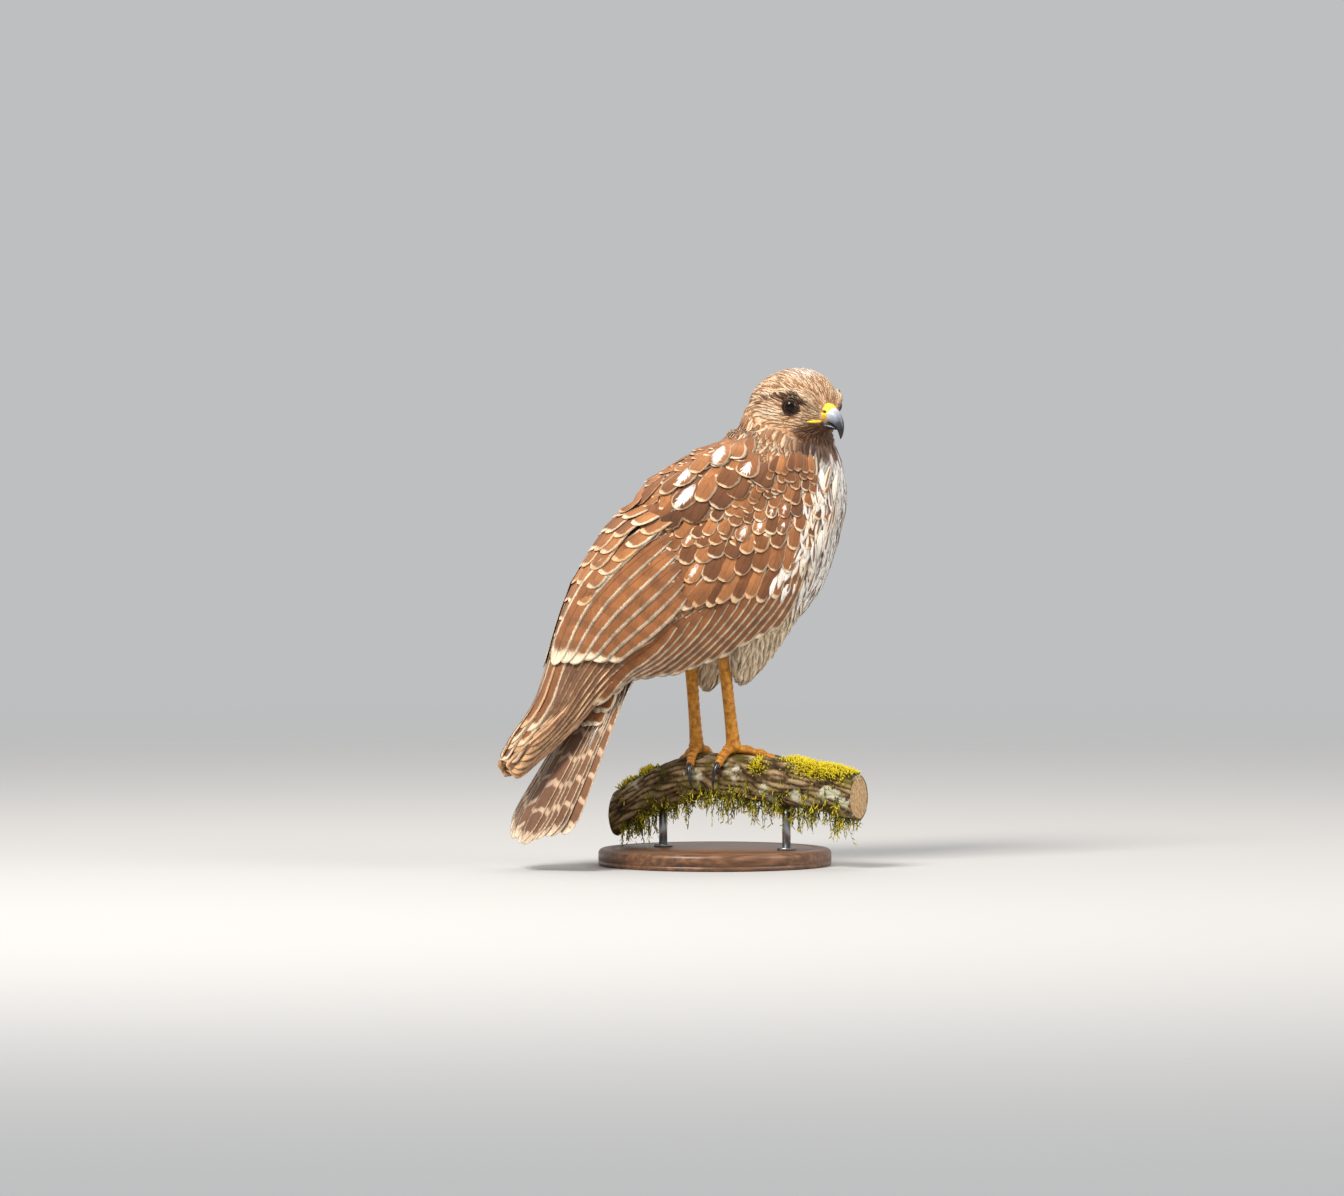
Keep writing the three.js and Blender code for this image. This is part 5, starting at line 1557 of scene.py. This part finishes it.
def build_perch():
    """The cut branch: bark with ridges, plates and knots, bare cut ends, crusts of lichen, and tufts of
    moss."""
    aa, bb = np.meshgrid(np.linspace(*PERCH_ENDS, 260), turns(150), indexing="ij")
    stretched = np.stack([aa * 0.35, PERCH_RADIUS * np.cos(bb), PERCH_RADIUS * np.sin(bb)], -1)
    flat = perch_grid(aa, bb, 0)
    plates = np.abs(ripples(stretched, 9, 21)) ** 0.6
    rough = ripples(flat, 4, 22) * 0.35 + ripples(flat, 26, 23) * 0.5
    from_top = np.abs((bb + np.pi) % (2 * np.pi) - np.pi)
    under_foot = np.max([np.exp(-(((aa - place) / 30) ** 2)) for place in FOOT_ALONG.values()], axis=0)
    under_foot = under_foot * smooth(2.0, 0.6, from_top)
    height = (1.6 * plates - 1.6 + rough) * (1 - 0.8 * under_foot) - 0.5 * under_foot
    height *= smooth(0, 5, np.minimum(aa - PERCH_ENDS[0], PERCH_ENDS[1] - aa) + 2)
    relief = np.concatenate([(plates * 0.6 + rough * 0.15).ravel(), [0.3, 0.3]])
    shape = closed_tube(perch_grid(aa, bb, height))
    put("perch_bark", shape, bark_finish(), ["perch"], {"relief": relief})
    # bare sawn wood, pale and dry
    wood = mottled("Sawn_end_grain", ["#8a6a42", "#b89468", "#cdb088"], 320, 5, (0.7, 0.9), 0.4, 0.0006)
    discs = []
    turn = turns(64)
    face = np.outer(np.sin(turn), PERCH_SIDE) + np.outer(np.cos(turn), UP)
    radii, depth = np.array(CUT_END).T
    for end, way in zip(PERCH_ENDS, (-1, 1)):
        wave = 1 + 0.03 * np.sin(3 * turn + end)
        middle = perch_middle(end + way * depth)[:, None]
        discs.append(closed_tube(middle + face * np.outer(radii, wave)[..., None]))
    put("perch_cut_ends", joined(discs), wood.material)
    build_moss()


# A leaf of moss: share along it and half width, as a share of its width
LEAF = np.array([(0, 0.5), (0.4, 1.0), (0.75, 0.8), (1.0, 0.12)])


def blades(root, way, length, width, bend):
    """Small three-sided leaves: from a root along a way, bending down by bend times the square of the
    share."""
    v, half = LEAF.T
    out, down = length[:, None] * v, bend[:, None] * v**2
    spine = root[:, None] + way[:, None] * out[..., None] - UP * down[..., None]
    along = unit(np.gradient(spine, axis=1))
    side = unit(np.cross(along, random.normal(size=(len(root), 1, 3))))
    reach = (width[:, None] * half)[..., None, None]
    turn = turns(3)[:, None]
    across = side[:, :, None] * np.cos(turn) + np.cross(side, along)[:, :, None] * 0.45 * np.sin(turn)
    points = spine[:, :, None] + reach * across
    faces = repeated(grid_quads(4, 3), np.array([[2, 1, 0], [9, 10, 11]]), 12, len(root))
    return (points.reshape(-1, 3), *faces), np.broadcast_to(v[:, None], points.shape[:-1]).ravel()


# Cushions of moss: middle along the branch, middle round it in radians from the top, reach along, reach round
MOSS_CUSHIONS = [
    (112, 0.1, 26, 0.9),
    (78, 0.2, 18, 0.7),
    (96, -0.5, 22, 0.6),
    (-80, 0.3, 10, 0.7),
    (-62, -0.2, 9, 0.45),
    (-30, 1.9, 20, 0.5),
    (40, 1.6, 16, 0.5),
    (46, -0.9, 8, 0.4),
]
MOSS_DENSITY = 42
MOSS_STRANDS = 420


def moss_root(along, angle):
    """A root just inside the bark, and the way out of it."""
    root = perch_grid(along, angle, -1.0)
    return root, unit(perch_grid(along, angle, 10) - root)


def build_moss():
    """Bright tufts on top of the branch, and long strands that hang from its underside."""
    # moss: olive in its depth to bright yellow-green at the tips, matt
    f = Finish("Moss_leaves", Roughness=0.7)
    stops = [(0.25, "#2f2a06"), (0.6, "#6d6a0a"), (0.95, "#b5a80f"), (1.0, "#dcc91f")]
    f.set(Base_Color=f.ramp(f.times(f.noise(90, 3), 0.8, f.attribute("tip")), stops))
    first, last = PERCH_ENDS
    made = []
    for middle, turn, reach, spread in MOSS_CUSHIONS:
        count = int(reach * spread * MOSS_DENSITY)
        along = middle + random.normal(0, 0.45, count) * reach
        angle = turn + random.normal(0, 0.5, count) * spread
        from_feet = np.min([np.abs(along - p) for p in FOOT_ALONG.values()], axis=0)
        inside = (along > first + 2) & (along < last - 2) & ((from_feet > 15) | (np.abs(angle) > 1.3))
        along, angle = along[inside], angle[inside]
        root, outward = moss_root(along, angle)
        way = unit(outward + random.normal(0, 0.45, root.shape) + 0.25 * UP)
        length = random.uniform(4, 9, len(root)) * np.exp(-(((along - middle) / (1.3 * reach)) ** 2))
        made.append(blades(root, way, length, random.uniform(0.5, 0.95, len(root)), 0.15 * length))
    count = MOSS_STRANDS
    along = random.uniform(first + 4, last - 4, count)
    root, outward = moss_root(along, np.pi + random.normal(0, 0.75, count))
    clump = smooth(-0.2, 0.5, np.sin(along / 5.5) + 0.6 * np.sin(along / 2.3 + 1))
    way = unit(0.25 * outward - UP + random.normal(0, 0.16, root.shape))
    length = random.uniform(5, 12, count) + 14 * clump * random.random(count)
    for knot in np.linspace(0, 1, 7):
        leaf = unit(way * 0.8 + random.normal(0, 0.5, way.shape))
        long, wide = random.uniform(2.5, 5, count), random.uniform(0.4, 0.8, count)
        shape, tip = blades(root + way * (length * knot)[:, None], leaf, long, wide, np.full(count, 0.3))
        made.append((shape, np.clip(tip * 0.5 + 0.35 * knot, 0, 1)))
    shape, tip = blades(root, way, length, np.full(count, 0.45), 0 * length)
    made.append((shape, 0.2 * tip))
    tips = np.concatenate([tip for _, tip in made])
    put("perch_moss", joined([shape for shape, _ in made]), f.material, attributes={"tip": tips})


def turned_form(profile, middle, count=96):
    """A form turned about an upright axis: radius and height of its outline, from the top's centre to the
    bottom's."""
    radius, height = np.array(profile, float).T[..., None, None]
    ring = np.stack([np.cos(turns(count)), np.sin(turns(count)), np.zeros(count)], -1)
    return closed_tube(ring * radius + UP * height + np.asarray(middle, float))


def build_stand():
    """The turned wooden base with a beaded edge, and two steel rods, each with a small collar on the base."""
    # oiled walnut: dark streaks along the grain under a thin satin coat
    tones, ends, stretch = ["#4a2f1b", "#6b4629", "#8a6040"], (0.32, 0.68), (1, 11, 11)
    coat_of = {"Coat_Weight": 0.2, "Coat_Roughness": 0.3}
    wood = mottled("Oiled_walnut", tones, 26, 6, (0.36, 0.5), 0.12, 0.0006, ends, stretch, **coat_of)
    radius, top = BASE_RADIUS, BASE_HEIGHT
    edge = [(radius - 4 + 4 * math.sin(t), top - 4 + 4 * math.cos(t)) for t in np.linspace(0, np.pi / 2, 8)]
    outline = [(0.5, top), (radius - 14, top), (radius - 13.4, top - 0.7), (radius - 12.8, top)]
    outline += edge + [(radius, 4.5), (radius - 0.9, 4.0), (radius, 3.5)]
    outline += [(radius, 1.2), (radius - 1.2, 0), (0.5, 0)]
    base = turned_form(outline, (0, 0, -PERCH_TOP), 160)
    put("base_turned_wood", base, wood.material, ["stand_base"])
    # brushed steel: grey, streaked down the rods
    tones, stretch = ["#8f9296", "#a9acb0"], (14, 14, 1)
    steel = mottled("Brushed_steel", tones, 60, 3, (0.26, 0.4), 0.05, 0.0002, stretch=stretch, Metallic=1.0)
    floor = BASE_HEIGHT - PERCH_TOP
    for number, along in enumerate(ROD_PLACES, 1):
        foot = perch_middle(along)
        low, high = floor - 5, foot[2] - PERCH_RADIUS + 5
        place = foot * (1, 1, 0)
        outline = [(0.2, high), (ROD_RADIUS, high - 0.3), (ROD_RADIUS, low + 0.3), (0.2, low)]
        rod = turned_form(outline, place, 40)
        collar = [(0.2, 2.4), (7.4, 2.4), (8, 1.8), (8, 0.2), (7.6, 0), (0.2, 0)]
        ring = turned_form(collar, place + UP * floor, 48)
        put(f"rod_{number}", joined([rod, ring]), steel.material, [f"stand_rod_{number}"])


PHOTO_MM_PER_PIXEL = 0.84
PHOTO_WIDTH = 1344
CAMERA_AZIMUTH = -20
CAMERA_RISE = 2.0
CAMERA_DISTANCE = 8.0
AIM = np.array([-0.0339, 0.0123, 0.2244])
# Area lights: azimuth from the side view, height in degrees, distance and size in metres, power in watts
LIGHTS = {
    "key_light": (-56, 48, 3.0, 1.1, 118),
    "fill_light": (48, 26, 3.2, 2.0, 46),
    "top_light": (150, 70, 3.2, 1.8, 34),
}
LIGHT_COLOUR = (1.0, 0.955, 0.9)
SKY_COLOUR = (0.86, 0.87, 0.88, 1)
SKY_STRENGTH = 0.6
FLOOR_COLOUR = (0.47, 0.467, 0.464, 1)
FLOOR_RADIUS = 12


def build_stage():
    """A pale floor that fades into the pale surroundings, soft studio lights, and the camera on the
    photograph's side."""
    scene = bpy.context.scene
    # matt pale floor, clear from three metres out
    f = Finish("Pale_floor", Base_Color=FLOOR_COLOUR, Roughness=0.9)
    place = add(f.tree, "TexCoord").outputs["Object"]
    distance = add(f.tree, "VectorMath", {0: place}, operation="LENGTH").outputs["Value"]
    fade = f.step(distance, 0.5, 3.2, kind="SMOOTHSTEP")
    clear = add(f.tree, "BsdfTransparent").outputs[0]
    blend_to = add(f.tree, "MixShader", {0: fade, 1: f.shader.outputs[0], 2: clear}).outputs[0]
    f.tree.links.new(blend_to, f.tree.nodes["Material Output"].inputs["Surface"])
    rim = FLOOR_RADIUS * np.stack([np.cos(turns(96)), np.sin(turns(96)), np.zeros(96)], -1)
    mesh = bpy.data.meshes.new("floor")
    mesh.from_pydata(rim.tolist(), [], [list(range(96))])
    mesh.materials.append(f.material)
    floor = bpy.data.objects.new("floor", mesh)
    scene.collection.objects.link(floor)
    scene.world = bpy.data.worlds.new("Studio")
    scene.world.use_nodes = True
    plug(scene.world.node_tree, scene.world.node_tree.nodes["Background"], {0: SKY_COLOUR, 1: SKY_STRENGTH})
    scene.view_settings.view_transform = "Standard"
    for name, (azimuth, rise, reach, size, power) in LIGHTS.items():
        light = bpy.data.lights.new(name, "AREA")
        light.energy, light.size, light.color = power, size, LIGHT_COLOUR
        aim_at(name, light, azimuth, rise, reach)
    lens = bpy.data.cameras.new("camera")
    lens.lens = lens.sensor_width * CAMERA_DISTANCE / (PHOTO_MM_PER_PIXEL * PHOTO_WIDTH / 1000)
    lens.clip_end = 100
    scene.camera = aim_at("camera", lens, CAMERA_AZIMUTH, CAMERA_RISE, CAMERA_DISTANCE)


def aim_at(name, data, azimuth, rise, reach):
    """An object for a light or camera, put at a distance from the aim and looking at it."""
    item = bpy.data.objects.new(name, data)
    a, e = math.radians(azimuth), math.radians(rise)
    away = np.array([math.sin(a) * math.cos(e), -math.cos(a) * math.cos(e), math.sin(e)])
    item.location = (AIM + away * reach).tolist()
    item.rotation_euler = Vector((-away).tolist()).to_track_quat("-Z", "Y").to_euler()
    bpy.context.scene.collection.objects.link(item)
    return item


class HawkSizes(bpy.types.PropertyGroup):
    """Sizes that shape the coat."""

    coat_depth: bpy.props.FloatProperty(
        name="Coat depth", description="Depth of the skin inside the outline", default=0.0035, unit="LENGTH"
    )
    skin_grain: bpy.props.FloatProperty(
        name="Skin grain", description="Size of the skin's faces", default=0.0024, unit="LENGTH"
    )


def operator(name, work):
    """An operator class that runs one builder."""

    def execute(self, context):
        work()
        return {"FINISHED"}

    label = name.replace("_", " ").capitalize()
    settings = {"bl_idname": f"hawk.{name}", "bl_label": label, "__doc__": work.__doc__, "execute": execute}
    return type(f"HAWK_OT_{name}", (bpy.types.Operator,), settings)


OPERATORS = [
    operator("skin", build_skin),
    operator("body_coat", build_body_coat),
    operator("scapulars", build_scapulars),
    operator("wings", build_wings),
    operator("tail", build_tail),
    operator("eyes", build_eyes),
    operator("bill", build_bill),
    operator("legs", build_legs),
    operator("perch", build_perch),
    operator("stand", build_stand),
    operator("stage", build_stage),
]


class HAWK_PT_panel(bpy.types.Panel):
    """Lists the steps that build the hawk."""

    bl_label = "Perched Hawk"
    bl_idname = "HAWK_PT_panel"
    bl_space_type = "VIEW_3D"
    bl_region_type = "UI"
    bl_category = "Hawk"

    def draw(self, context):
        for key in ("coat_depth", "skin_grain"):
            self.layout.prop(context.scene.hawk_sizes, key)
        for made in OPERATORS:
            self.layout.operator(made.bl_idname)


def register():
    for made in (HawkSizes, *OPERATORS, HAWK_PT_panel):
        bpy.utils.register_class(made)
    bpy.types.Scene.hawk_sizes = bpy.props.PointerProperty(type=HawkSizes)


def unregister():
    del bpy.types.Scene.hawk_sizes
    for made in (HAWK_PT_panel, *reversed(OPERATORS), HawkSizes):
        bpy.utils.unregister_class(made)


def main():
    """Builds every piece in order and writes the sizes."""
    register()
    for made in OPERATORS:
        group, name = made.bl_idname.split(".")
        getattr(getattr(bpy.ops, group), name)()


if __name__ == "__main__":
    main()
